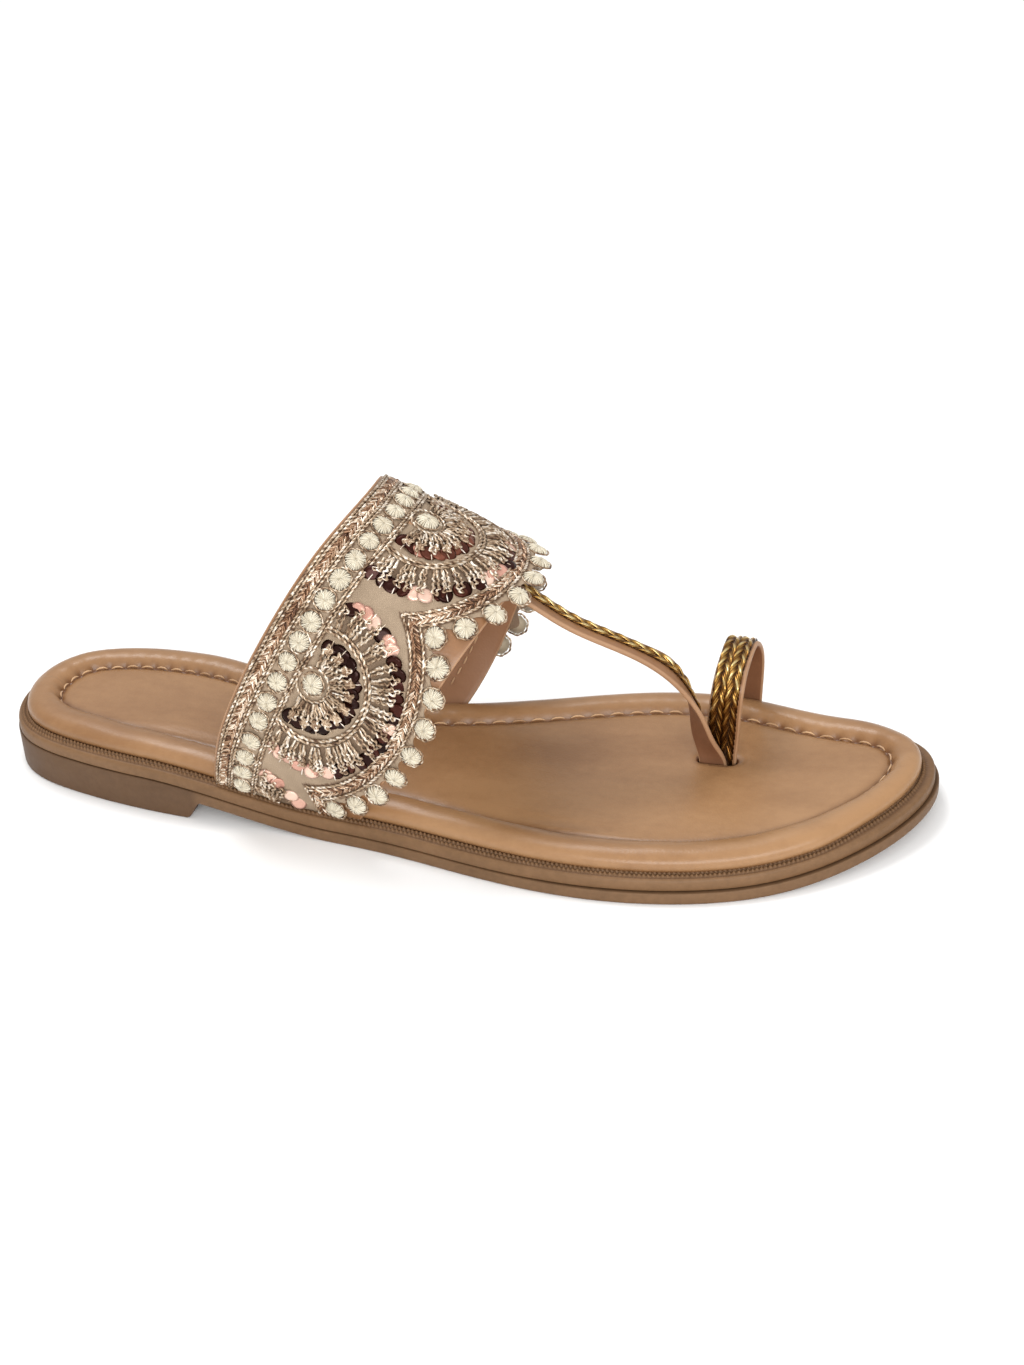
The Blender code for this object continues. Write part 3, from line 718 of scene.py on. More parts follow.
WELT_PROFILE = (               # inset from the welt's side, height above the outsole, tone, row of beads; low tones are painted shade in the groove above the outsole, between the beads and under the roll
    (2.6, 0.12, 0, 0), (0.8, 0.08, 0.55, 0), (0.3, 0.1, 0.75, 0), (0.06, 0.18, 0.9, 0), (0, 0.36, 0.95, 0),
    (0, 1.6, 0.95, 0), (0.03, 2.2, 1, 0), (0.14, 2.65, 1, 0), (0.34, 3, 1, 0), (0.6, 3.2, 1, 0),
    (0.86, 3.26, 0.85, 0), (1.02, 3.18, 0.55, 0), (1.16, 3.3, 0.4, 1), (1.5, 3.62, 1, 1), (1.9, 3.55, 0.4, 1),
    (2.06, 3.42, 0.5, 0), (2.22, 3.55, 0.35, 2), (2.55, 3.9, 0.8, 2), (2.95, 3.85, 0.5, 2),
    (3.15, 3.75, 0.25, 0), (4.4, 3.6, 0, 0), (6.5, 3.3, 0, 0),
)
BEAD_PITCH = 1.2


def make_welt():
    points, normals, perimeter = make_ring(2300)
    travel = np.arange(len(points)) / len(points) * perimeter
    turns = TURN * round(perimeter / BEAD_PITCH) * travel / perimeter
    wander = 0.5 * np.sin(travel / 7) + 0.4 * np.sin(travel / 2.3)
    base = welt_inset(points[:, 0])
    lip = toe_lip(points[:, 0])
    rings = []
    tones = []
    for inset, height, tone, row in WELT_PROFILE:
        flat = points - normals * (base + inset + lip * smoothstep((inset - 0.6) / 0.5))[:, None]
        lift = np.zeros(len(points))
        if row:
            wave = 0.5 + 0.5 * np.cos(turns + 1.6 * inset + wander + math.pi * (row - 1))
            lift = 0.6 * wave + rng.normal(0, 0.06, len(points)) - 0.12
            # painted light: each bead is lighter at its crown and darker between beads
            tone = 0.6 + tone * (wave ** 1.5) * 0.75 + rng.normal(0, 0.08, len(points))
        rings.append(np.column_stack((flat, seat_height(flat[:, 0]) + height + lift)))
        tones.append(np.clip(tone + 0 * lift, 0, 1.3))
    heap = Heap()
    heap.sheet(rings, tones)
    # painted shade: the welt's underside and its top under the footbed take tone 0
    close_ring(heap, rings[0], lambda x, y: seat_height(x) + 0.12, 2, False, 0)
    close_ring(heap, rings[-1], lambda x, y: seat_height(x) + 3.3, 2, True, 0)
    return heap.build("welt", "welt_moulding", slot="welt_rubber")


STITCH_PITCH = (4.3, 5.3)      # at the heel, at the front
STITCH_PITCH_SPAN = (30, 120)
STITCH_INSET = 12.45
FOOTBED_PROFILE = (            # inset from the outline, height above the welt, tone; low tones are painted shade under the roll and in the stitch groove
    (5.2, -0.3, 0), (4.2, -0.25, 0), (3.65, 0, 0), (3.36, 0.45, 0.2), (3.2, 1, 0.45),
    (3.14, 1.6, 0.5), (3.2, 2.25, 0.5), (3.42, 2.9, 0.5), (3.85, 3.55, 0.5), (4.5, 4.12, 0.5),
    (5.35, 4.58, 0.5), (6.35, 4.88, 0.5), (7.4, 5, 0.5), (8.4, 4.95, 0.5), (9.3, 4.8, 0.5),
    (10.05, 4.5, 0.5), (10.7, 4.05, 0.5), (11.2, 3.5, 0.47), (11.6, 2.95, 0.42), (11.9, 2.5, 0.34),
    (12.15, 2.18, 0.26), (12.45, 2.05, 0.22), (12.75, 2.12, 0.27), (13.1, 2.28, 0.36), (13.6, 2.48, 0.44),
    (14.3, 2.68, 0.48), (15.4, 2.81, 0.5), (17.2, 2.88, 0.5), (19.5, FOOTBED_CENTRE, 0.5),
)
FOOTBED_FOLDS = (              # from x, y to x, y, half width, height of soft folds in the middle
    (24, -15.6, 80, -18.6, 1, 0.42), (30, -13.4, 78, -16.2, 0.9, -0.4), (38, -11.2, 76, -13.6, 1.1, 0.32),
    (40, 11.5, 84, 8.5, 1.6, -0.22), (148, -30, 196, -32.5, 1.6, 0.3), (140, -26.5, 182, -29.5, 1.8, -0.28),
    (150, 14, 176, 19, 3, -0.22), (205, 2, 226, -6, 4, -0.15),
)
SLOT_LIPS = (                  # margin outside the slot, height, tone; low tones are painted shade going down into the slot
    (1.15, -0.06, 0.45), (0.85, 0.05, 0.36), (0.55, 0.02, 0.1), (0.32, -0.3, 0), (0.2, -1, 0), (0.1, -3, 0),
)
SLOT_SLIP = 0.25               # the opening seen lies this much to the lateral side of the straps' ends
SLOT_DEPTH = 3.2


def slot_distance(x, y):
    """Distance from the rounded slot beside the big toe; negative inside."""
    radius = SLOT_SIZE[1] / 2
    reach = SLOT_SIZE[0] / 2 - radius
    along = np.clip(x - SLOT_CENTRE[0], -reach, reach)
    return np.hypot(x - SLOT_CENTRE[0] - along, y - SLOT_CENTRE[1]) - radius


def footbed_detail(x, y):
    """Hollows and folds of the footbed's middle: heel seat, ball of the foot, lips of the slot."""
    heel = -0.35 * np.exp(-((x - 38) / 26) ** 2 - ((y - 1) / 15) ** 2)
    ball = -0.5 * np.exp(-((x - 172) / 30) ** 2 - ((y - 6) / 26) ** 2)
    lip = np.clip(slot_distance(x, y), 0, None)
    level = heel + ball - 0.3 * hill(lip, 0, 0.8) + 0.16 * hill(lip, 2, 1.2)
    for x0, y0, x1, y1, half, height in FOOTBED_FOLDS:
        run, rise = x1 - x0, y1 - y0
        share = np.clip(((x - x0) * run + (y - y0) * rise) / (run ** 2 + rise ** 2), 0, 1)
        off = np.hypot(x - x0 - share * run, y - y0 - share * rise)
        level = level + height * hill(off, 0, half) * (0.3 + 0.7 * np.sin(math.pi * share))
    return level


def footbed_level(x, y):
    return welt_top(x) + FOOTBED_CENTRE + footbed_detail(x, y)


def footbed_floor(x, y):
    """The footbed's middle, where points inside the slot go down its walls."""
    return footbed_level(x, y) - SLOT_DEPTH * (slot_distance(x, y + SLOT_SLIP) < 0.3)


def stitch_turns(line):
    """Turns of the stitches at each point of their line, and the number of stitches."""
    hops = np.diff(lengths_along(np.vstack((line, line[:1]))))
    pitch = between(*STITCH_PITCH, ramp_up(line[:, 0], *STITCH_PITCH_SPAN))
    turns = np.concatenate(([0], np.cumsum(hops / pitch)))
    stitches = int(round(turns[-1]))
    return turns[:-1] * stitches / turns[-1], stitches


def slot_edge(margin, drop, _):
    """Points around the slot, a margin outside its edge."""
    turn = circle(56)
    radius = SLOT_SIZE[1] / 2 + margin
    reach = SLOT_SIZE[0] / 2 - SLOT_SIZE[1] / 2 - 0.3
    x = SLOT_CENTRE[0] + reach * np.sign(np.cos(turn)) + radius * np.cos(turn)
    y = SLOT_CENTRE[1] + radius * np.sin(turn) - SLOT_SLIP
    return np.column_stack((x, y, footbed_level(x, y) + drop))


def make_footbed():
    """Padded insole: puckered roll, groove of the stitch line, soft middle, slot."""
    points, normals, perimeter = make_ring(1320)
    x = points[:, 0]
    travel = np.arange(len(points)) / len(points) * perimeter
    phase = TURN * stitch_turns(points - normals * STITCH_INSET)[0]
    wave = np.cos(phase)
    dip = (0.5 - 0.5 * wave) ** 2
    drift = (0.1 * np.sin(travel / 17) + 0.07 * np.sin(travel / 6.3 + 1)
             + 0.05 * np.sin(travel / 2.9 + 0.4 * np.sin(travel / 11)))
    lean = smoothstep((-normals[:, 1] - 0.35) / 0.45)
    calm = 1 - 0.75 * np.exp(-((x - 148) / 32) ** 4) * (normals[:, 1] > 0)
    fade = lean * np.exp(-((x - 100) / 56) ** 4)
    rings = []
    tones = []
    for inset, height, tone in FOOTBED_PROFILE:
        bow = drift * smoothstep((inset - 4) / 3) * smoothstep((13.5 - inset) / 2)
        shoulder = 0.8 * lean * hill(inset, 10.9, 0.9) * (1 - 0.7 * fade)
        scallop = 0.2 * hill(inset, 11.9, 0.6) * wave * (1 - 0.85 * lean) * calm
        lip = toe_lip(x) * smoothstep((12 - inset) / 7)
        flat = points - normals * (inset + 0.25 * bow + shoulder + scallop + lip)[:, None]
        pucker = 0.08 * hill(inset, 11.6, 0.8) * wave
        crease = 0.09 * hill(inset, 10.2, 1.5) * np.cos(phase + 0.9 * np.sin(travel / 9))
        hole = -0.4 * hill(inset, STITCH_INSET, 0.5) * dip
        level = welt_top(flat[:, 0]) + height + (pucker + crease) * (1 - 0.8 * lean) * calm + hole + bow
        level = level + 0.32 * fade * hill(inset, 12.2, 1)
        level = level + footbed_detail(*flat.T) * smoothstep((inset - 11) / 5)
        rings.append(np.column_stack((flat, level)))
        # painted shade: dark deepens the groove on the lateral side, hole darkens the stitch holes, and the last
        # term takes shade out where the groove fades
        dark = 0.16 * hill(inset, 12.9, 1.1) * lean
        hole = 0.2 * hill(inset, 12.1, 0.6) * dip * calm
        tones.append(np.clip(tone - dark - hole + 0.2 * hill(inset, 12.4, 1) * fade, 0, 1))
    heap = Heap()
    heap.sheet(rings, tones)
    close_ring(heap, rings[-1], footbed_floor, 32, True)
    close_ring(heap, rings[0], lambda x, y: welt_top(x) - 0.3, 2, False)
    # the slot's lips, with painted shade down into the opening
    heap.sheet([slot_edge(*row) for row in SLOT_LIPS], np.array(SLOT_LIPS)[:, 2:])
    return heap.build("footbed_pad", "footbed_leather", slot="footbed_leather")


def make_footbed_stitches():
    count = 4800
    points, normals, _ = make_ring(count)
    line = points - normals * STITCH_INSET
    turns, stitches = stitch_turns(line)
    place = np.searchsorted(turns, np.arange(stitches)) % count
    lean = smoothstep((-normals[place, 1] - 0.35) / 0.45)
    x = line[place, 0]
    origins = np.column_stack((line[place], welt_top(x) + 2.35 - 0.55 * lean)) + rng.normal(0, 0.05, (stitches, 3))
    seat = np.column_stack((line, welt_top(line[:, 0])))
    along = unit(seat[(place + 8) % count] - seat[place - 8])
    outward = np.column_stack((normals[place], np.zeros(stitches)))
    along = unit(along + outward * rng.normal(0, 0.05, stitches)[:, None])
    up = unit(np.cross(along, outward))
    length = 3.3 + 0.5 * ramp_up(x, *STITCH_PITCH_SPAN)
    axes = along * length[:, None], outward, up * np.sign(up[:, 2:])
    form, quads = grain(1, 0.5, 0.5, 8)
    arch = 1 - 4 * form[:, 0] ** 2
    form = form + np.column_stack((0 * arch, 0.3 * arch, 0.35 * arch))
    heap = Heap()
    heap.stamp((form, quads), origins, axes, rng.uniform(0.1, 1, stitches))
    heap.build("footbed_stitches", "stitch_thread", slot="footbed_leather")


# ------ leather of the upper
def strip_slots(quads, columns, outer, inner):
    """Materials of a strip: first on its outer face, second on its inner face, third on its edges."""
    column = quads[:, 3] % columns
    return np.select([(column >= low) & (column < high) for low, high in (outer, inner)], [0, 1], 2)


LINING_SEAMS = (BAND_WIDTH - 7, 4.2)


def make_band_leather():
    """The band's leather strip with rounded cut edges and a lining face."""
    width = BAND_WIDTH - 0.2
    outer, inner = LEATHER_TOP, BAND_THICKNESS
    face = np.linspace(1.5, width - 1.5, 30)
    section = np.array([
        (0, inner - 0.3), (0, outer + 0.3), (0.1, outer + 0.08), (0.35, outer), *((v, outer) for v in face),
        (width - 0.35, outer), (width - 0.1, outer + 0.08), (width, outer + 0.3), (width, inner - 0.3),
        (width - 0.12, inner - 0.06), (width - 0.4, inner), *((v, inner) for v in face[::-1]),
        (0.4, inner), (0.12, inner - 0.06),
    ])
    run, depth = section.T
    low, high = (np.array([hem_across(v, side, 1.2) for v in run]) for side in (-1, 1))
    across = between(low, high, np.linspace(0, 1, 200)[:, None])
    along = run - 1.7 * smoothstep((-across - 66) / 10) * run / width
    wave = 0.1 * np.sin(across / 9 + along / 13) + 0.07 * np.sin(across / 4.1 - along / 7)
    seam = sum(hill(along, row, 0.7) for row in LINING_SEAMS)
    depth = depth + np.where(depth >= inner - 0.01, wave - 0.2 * seam, 0)
    heap = Heap()
    quads = grid_quads(*across.shape)[:, ::-1]
    heap.add(band_point(across, along, depth), quads, slot=strip_slots(quads, len(section), (3, 34), (39, 70)))
    return heap.build("band_leather", "upper_leather", "lining_leather", "cut_edge_leather")


def make_lining_stitches():
    """Seams that hold the lining, a little inside the band's front and back edges."""
    heap = Heap()
    for along in LINING_SEAMS:
        across = np.arange(-100, 108, 3.1)
        across = across[above_hem(across, along, 2)]
        side, forward, outward = band_axes(across, along)
        origins = band_point(across, along, BAND_THICKNESS + 0.2)
        tones = rng.uniform(0.3, 0.9, len(across))
        heap.stamp(grain(2.3, 0.5, 0.5, 6), origins, (side, -forward, -outward), tones)
    heap.build("lining_stitches", "stitch_thread")


STRAP_EDGE = ((-1, 0), (-0.99, 0.5), (-0.955, 0.85), (-0.88, 1), (-0.6, 1), (-0.3, 1))


def strap_section():
    """Closed section of a flat strap, as shares of the half width and half thickness."""
    top = [*STRAP_EDGE, (0, 1), *((-a, b) for a, b in STRAP_EDGE[::-1])]
    return np.array(top + [(a, -b) for a, b in top[-2:0:-1]])


def strap_frames(table, stations):
    """Centre, half width and directions of a flat strap along its table of edges."""
    rows = np.array(table)
    travel = lengths_along((rows[:, :3] + rows[:, 3:]) / 2)
    smooth = natural_spline(travel, rows)(np.linspace(0, travel[-1], stations))
    centre = (smooth[:, :3] + smooth[:, 3:]) / 2
    width = smooth[:, 3:] - smooth[:, :3]
    half = np.linalg.norm(width, axis=1) / 2
    width = unit(width)
    return centre, half, width, unit(np.cross(unit(np.gradient(centre, axis=0)), width))


def make_strap(name, table, stations):
    centre, half, width, face = strap_frames(table, stations)
    section = strap_section()
    count = len(section)
    points = sweep(centre, width, face, section[:, 0] * half[:, None], section[None, :, 1] * STRAP_THICKNESS / 2)
    quads = grid_quads(stations, count)[:, ::-1]
    caps = []
    for a in range(count // 2):
        b, c, d = a + 1, (count - a - 1) % count, (count - a) % count
        caps.append((a, b, c, c) if a == 0 else (a, b, c, d) if b != c else (a, b, d, d))
    caps = np.vstack((caps, np.array(caps)[:, ::-1] + (stations - 1) * count))
    slots = strip_slots(quads, count, (3, 9), (15, 21))
    heap = Heap()
    heap.add(points, np.vstack((quads, caps)), slot=np.append(slots, np.full(len(caps), 2)))
    heap.build(name, "upper_leather", "shaded_strap_back_leather", "cut_edge_leather")


def plait(heap, centre, side, up, width, pitch):
    """A flat plait of three-thread strands; each lobe leaves an edge, crowns, and dives at the middle."""
    travel = lengths_along(centre)
    t = np.linspace(0, 1, 14)
    turn = circle(6)
    swell = 0.42 * (0.6 + 0.4 * np.sin(math.pi * (0.05 + 0.9 * t)))[:, None]
    crown = np.sin(math.pi * (0.1 + 0.86 * t) ** 0.8)
    for hand in (-1, 1):
        sideways = hand * width * (0.45 - 0.5 * t ** 1.1 + 0.05 * np.sin(math.pi * t))
        starts = np.arange(0.2 * pitch, travel[-1] - 1.5 * pitch, pitch) + (pitch / 2 if hand > 0 else 0)
        for start in starts:
            shade = rng.uniform(-0.12, 0.12)
            for strand in (-1, 0, 1):
                at = start + strand * pitch / 3.3 + t * pitch * 1.3
                lift = (0.8 - 0.3 * abs(strand)) * (0.1 + 0.9 * crown) - 0.2
                top = follow(at, travel, up)
                line = (follow(at, travel, centre) + follow(at, travel, side) * sideways[:, None]
                        + top * lift[:, None])
                along = unit(np.gradient(line, axis=0))
                across = unit(np.cross(top, along))
                ring = sweep(line, across, np.cross(along, across), swell * np.cos(turn), swell * np.sin(turn) * 0.8)
                # painted light: each strand is lit at its crown and shaded at its ends, the outer strands of a lobe
                # are shaded, and the next line paints shade over the plait below 33 mm towards the floor
                tone = 0.05 + shade + 0.75 * np.sin(math.pi * t) - 0.28 * abs(strand)
                tone = tone * (1 - 0.5 * smoothstep((33 - line[:, 2]) / 18))
                heap.sheet(ring, np.clip(tone, 0, 1)[:, None])


def make_gold_braids():
    """Plaits sewn on the straps: one on the T-strap, towards its medial edge, and a pair on the toe loop."""
    rows = (                   # strap, stations, first and last station, offsets across, half bed, width, pitch
        ("t_strap_braid", T_STRAP, 160, 8, 149, (0.9,), 1.5, 3.5, 4.3),
        ("toe_loop_braid", TOE_LOOP, 200, 5, 188, (-1.42, 1.98), 3.3, 3.75, 4.2),
    )
    for name, table, stations, first, last, offsets, half, width, pitch in rows:
        centre, _, side, up = (values[first:last] for values in strap_frames(table, stations))
        surface = centre + up * STRAP_THICKNESS / 2
        middle = surface + side * (sum(offsets) / len(offsets))
        heap = Heap()
        # bed under the plaits; its dark finish is partly painted shade between the strands
        bed = [middle + side * share * half + up * level * 0.3
               for share, level in ((-1, 0), (-0.85, 0.8), (0, 1), (0.85, 0.8), (1, 0))]
        heap.sheet(np.stack(bed, axis=1), 0.2, 1, flip=True, ringed=False)
        for offset in offsets:
            plait(heap, surface + side * offset, side, up, width, pitch)
        heap.build(name, "antique_gold_braid", "braid_bed_and_gap_shade")


# ------ embroidery
def nearest_scallop(across):
    return np.round(across / SCALLOP_PITCH) * SCALLOP_PITCH


def scallop_along(across, radius):
    """How far forward a line around the scallops reaches, at each place across."""
    off = across - nearest_scallop(across)
    return SCALLOP_ALONG + np.sqrt(np.maximum(radius ** 2 - off ** 2, 0))


def cloth_shade(across, along):
    """Clean cloth is 1; painted shade darkens it under the thread work: inside the medallions, along the scallops'
    ropes and braid, and under the back ropes and braid.
    """
    ring = np.hypot(across - nearest_scallop(across), along - SCALLOP_ALONG)
    tone = np.ones_like(across)
    for centre in MEDALLIONS:
        r = np.hypot(across - centre, along - MEDALLION_ALONG)
        angle = np.abs(np.degrees(np.arctan2(across - centre, along - MEDALLION_ALONG)))
        inner = (r > 4.9) & (r < 12) & (angle < 96)
        outer = (r > 14) & (r < 22) & (angle < 98)
        tone = np.where(inner & (along > 13.6), 0.2, np.where(outer & (along > 13.6), 0.45, tone))
    tone = np.where(((ring > 31) & (ring < 35.4)) | (along < 6.4), 0.15, tone)
    return np.where((along > 11.6) & (along < 13.6), 0.25, tone)


def make_fabric():
    """Silk cover of the band, cut to the scallops and discs at its front."""
    rows = np.linspace(-116, 116, 520)
    off = rows - nearest_scallop(rows)
    angle = np.degrees(np.arcsin(np.clip(off / FRONT_DISC_RADIUS, -1, 1)))
    front = scallop_along(rows, FABRIC_EDGE_RADIUS + 1.1 * np.cos(TURN * angle / FRONT_DISC_STEP))
    flat_along = between(0.8, front[:, None], np.linspace(0, 1, 73))
    flat_across = rows[:, None] + 0 * flat_along
    across, along = on_band(flat_across, flat_along)
    across = np.clip(across, *hems(along, -0.6))
    pile = 0.04 * np.sin(across * 0.9) * np.sin(along * 0.8)
    outer = band_point(across, along, FABRIC_TOP + pile)
    inner = band_point(across[:, ::6], along[:, ::6], LEATHER_TOP - 0.02)
    heap = Heap()
    heap.sheet(outer, cloth_shade(flat_across, flat_along), flip=True, ringed=False)
    heap.sheet(inner, 0.6, ringed=False)
    heap.sheet(np.stack((outer[:, -1], inner[:, -1]), axis=1), 0.6, ringed=False)
    heap.build("silk_cover", "silk_fabric")


def straight_run(along):
    across = np.arange(-106, 112, THREAD_STEP)
    return trimmed(across, along + 0 * across)


def trimmed(across, along):
    keep = above_hem(across, along, -0.4)
    return across[keep], along[keep]


def around(centre, radius, angle):
    return centre + radius * np.sin(angle), MEDALLION_ALONG + radius * np.cos(angle)


def arc_run(centre, radius, reach):
    """An arc around a medallion's middle, to the same angle on both sides."""
    count = max(8, int(math.radians(2 * reach) * radius / THREAD_STEP))
    angle = np.radians(np.linspace(-reach, reach, count))
    across, along = trimmed(*around(centre, radius, angle))
    return across[along > 12.6], along[along > 12.6]


def scallop_run(radius):
    """One line across the whole band that follows every scallop at a radius."""
    across = np.arange(-112, 112, THREAD_STEP)
    points = np.column_stack((across, scallop_along(across, radius)))
    travel = lengths_along(points)
    return trimmed(*follow(np.arange(0, travel[-1], THREAD_STEP), travel, points).T)


def sew_rope(heap, across, along, lift, radius, tone, pitch=1.5, wander=0.05):
    """Lay a twisted thread on the cloth, along a line of the layout."""
    if len(across) < 8:
        return
    path = sewn_point(across, along, FABRIC_TOP - lift)
    rope(heap, path, sewn_axes(across, along)[2], radius, pitch, tone, rng.uniform(0, 6), wander)


def chevrons(heap, across, along, width, lift):
    """Two rows of slanting stitches that meet in the middle of a braid."""
    line = np.column_stack((across, along))
    travel = lengths_along(line)
    at = np.arange(0.3, travel[-1] - 0.3, 0.66)
    u, v = follow(at, travel, line).T
    du, dv = (follow(at + 0.3, travel, line) - follow(at - 0.3, travel, line)).T
    size = np.hypot(du, dv)
    du, dv = du / size, dv / size
    patch = 0.5 + 0.5 * np.sin(at / 5 + 1.5 * np.sin(at / 13))
    for hand in (-1, 1):
        offset = hand * width * 0.24 + rng.normal(0, 0.07, len(at))
        place = u - dv * offset, v + du * offset
        eu, ev, en = sewn_axes(*place)
        run = eu * du[:, None] + ev * dv[:, None]
        slant = np.radians(33 + rng.normal(0, 9, len(at))) * hand
        pitch_up = rng.normal(0, 0.12, len(at))
        direction = unit(run * np.cos(slant)[:, None] + np.cross(en, run) * np.sin(slant)[:, None]
                         + en * pitch_up[:, None])
        origin = sewn_point(*place, FABRIC_TOP - lift + rng.normal(0, 0.08, len(at)))
        stretch = rng.uniform(0.85, 1.2, len(at))[:, None]
        tones = np.clip(rng.uniform(0, 1, len(at)) * 0.75 + 0.3 * patch, 0, 1)
        axes = direction * stretch, unit(np.cross(en, direction)), en
        heap.stamp(grain(2.2, 0.56, 0.55, 5), origin, axes, tones)


def make_ropes_and_braids():
    ropes = Heap()
    for k, row in enumerate(BACK_ROPES):
        across, along = straight_run(row)
        sew_rope(ropes, across, along + 0.06 * np.sin(across / 3 + k), 0.3, 0.42, 0.6)
    for radius in SCALLOP_ROPES:
        sew_rope(ropes, *scallop_run(radius), 0.32, 0.42, 0.62)
    for centre in MEDALLIONS:
        for radius in MEDALLION_ROPES:
            sew_rope(ropes, *arc_run(centre, radius, 106), 0.4, 0.54, 0.6, 1.9)
        sew_rope(ropes, *arc_run(centre, 4.4, 178), 0.42, 0.42, 0.62)
    ropes.build("twisted_threads", "champagne_zari")
    braid = Heap()
    chevrons(braid, *straight_run(BACK_BRAID[0]), BACK_BRAID[1], 0.28)
    chevrons(braid, *scallop_run(SCALLOP_BRAID[0]), SCALLOP_BRAID[1], 0.3)
    braid.build("chevron_braid", "copper_zari")


def disc_places():
    """Cream discs: place and radius in the straight row, the scalloped front and the medallions."""
    back, front, middle = DISC_RADII
    places = [(DISC_PITCH * (k + 0.5) + 0.35, BACK_DISC_ROW, back) for k in range(-18, 18)]
    for scallop in (-2, -1, 0, 1, 2):
        for k in range(-4 if scallop <= 0 else -3, 5 if scallop >= 0 else 4):
            angle = math.radians(k * FRONT_DISC_STEP)
            places.append((scallop * SCALLOP_PITCH + FRONT_DISC_RADIUS * math.sin(angle),
                           SCALLOP_ALONG + FRONT_DISC_RADIUS * math.cos(angle), front))
    places += [(centre, MEDALLION_ALONG, middle) for centre in MEDALLIONS]
    return np.array([row for row in places if above_hem(row[0], row[1], 1.6)])


def disc_thread():
    """One thread of a disc, from near its centre out over its domed edge."""
    points = []
    for r in (0.1, 0.4, 0.68, 0.9, 1.03):
        z = math.sqrt(max(0, 1 - min(r, 1) ** 2.4))
        half = 0.04 + 0.052 * r
        points += [(r, side, z + lift) for side, lift in ((-half, -0.06), (0, 0.11), (half, -0.06), (0, -0.14))]
    return np.array(points), np.vstack((grid_quads(5, 4), [(0, 3, 2, 1), (16, 17, 18, 19)]))


def make_discs():
    across, along, radius = disc_places().T
    count = len(across)
    across = across + rng.normal(0, 0.1, count)
    along = along + rng.normal(0, 0.1, count)
    radius = radius * rng.uniform(0.96, 1.03, count)
    side, forward, outward = sewn_axes(across, along)
    tilt = rng.normal(0, 0.07, (count, 2))
    outward = unit(outward + side * tilt[:, :1] + forward * tilt[:, 1:])
    forward = unit(np.cross(outward, side))
    side = np.cross(forward, outward)
    origin = sewn_point(across, along, FABRIC_TOP - 0.22)
    body = radius[:, None] * 0.87
    pads = Heap()
    axes = side * body * 0.97, forward * body * 0.97, outward * 0.95
    pads.stamp(dome(24, 4), origin, axes, np.full(count, 0.3))
    for k in range(DISC_STRANDS):
        angle = TURN * (k + rng.normal(0, 0.16, count)) / DISC_STRANDS
        ray = side * np.cos(angle)[:, None] + forward * np.sin(angle)[:, None]
        reach = body * rng.uniform(0.9, 1.12, count)[:, None]
        height = rng.uniform(0.9, 1.15, count)[:, None]
        axes = ray * reach, np.cross(outward, ray) * body, outward * height
        pads.stamp(disc_thread(), origin, axes, rng.uniform(0.45, 1, count))
    pads.build("cream_discs", "cream_silk_thread")
    rings = Heap()
    turns = np.linspace(0, TURN, 40, endpoint=False)
    for k in range(count):
        r = radius[k] * (1.02 + 0.035 * np.cos(7 * turns + k))
        loop = origin[k] + side[k] * (r * np.cos(turns))[:, None] + forward[k] * (r * np.sin(turns))[:, None]
        loop = loop + outward[k] * 0.1
        rope(rings, loop, np.broadcast_to(outward[k], loop.shape), 0.3, 1.45, 0.5, k, closed=True)
    rings.build("disc_rings", "champagne_zari")


def polar_frames(centre, radius, degrees):
    """Places on a medallion, with the outward and sideways directions of its rays, and up."""
    angle = np.radians(degrees)
    across, along = around(centre, radius, angle)
    eu, ev, en = sewn_axes(across, along)
    ray = eu * np.sin(angle)[:, None] + ev * np.cos(angle)[:, None]
    return across, along, ray, np.cross(en, ray), en


def petal_loop(heap, centre, degrees, start, end, width, lift, tone, crown):
    """A thread loop that leaves the inner circle, rounds its tip and comes back."""
    t = np.linspace(0, 1, 38)
    swing = np.sin(math.pi * t)
    reach = between(start, end, swing ** 0.6)
    side = np.cos(math.pi * t) * (0.42 + 0.58 * swing ** 1.4) + 0.12 * np.sin(3 * math.pi * t)
    side = side * width / 2
    angle = math.radians(degrees)
    across = centre + reach * math.sin(angle) + side * math.cos(angle)
    along = MEDALLION_ALONG + reach * math.cos(angle) - side * math.sin(angle)
    if np.all(above_hem(across, along, 0.3)):
        rise = lift + crown * np.sin(math.pi * np.clip((reach - start) / (end - start), 0, 1) * 0.85)
        sew_rope(heap, across, along, rise, 0.46, tone, 1.4, 0.3)


INNER_PETALS = np.linspace(-94, 94, 11)
OUTER_LOOPS = np.linspace(-96, 96, 25)
SEQUIN_MOODS = (               # per medallion: inner ring's low and high tone, pale share at its left, front, right
    (0.6, 0.95, 1, 1, 1), (0, 0.12, 1, 0.12, 0.85), (0.25, 0.62, 0.1, 0.35, 0.8), (0, 0.3, 0.9, 0.2, 0.9),
    (0.05, 0.5, 0.9, 0.3, 0.9),
)


def lay_rays(heap, form, centre, angles, radius, lift, low, high):
    """Straight stitches along the rays of a medallion, with tones between low and high."""
    tones = rng.uniform(low, high, len(angles))
    across, along, ray, side, en = polar_frames(centre, radius, angles)
    keep = above_hem(across, along, 1) & (along > 13.8)
    origin = sewn_point(across, along, FABRIC_TOP - lift)
    stretch = rng.uniform(0.88, 1.15, len(angles))[:, None]
    heap.stamp(form, origin, (ray * stretch, side, en), tones, keep)


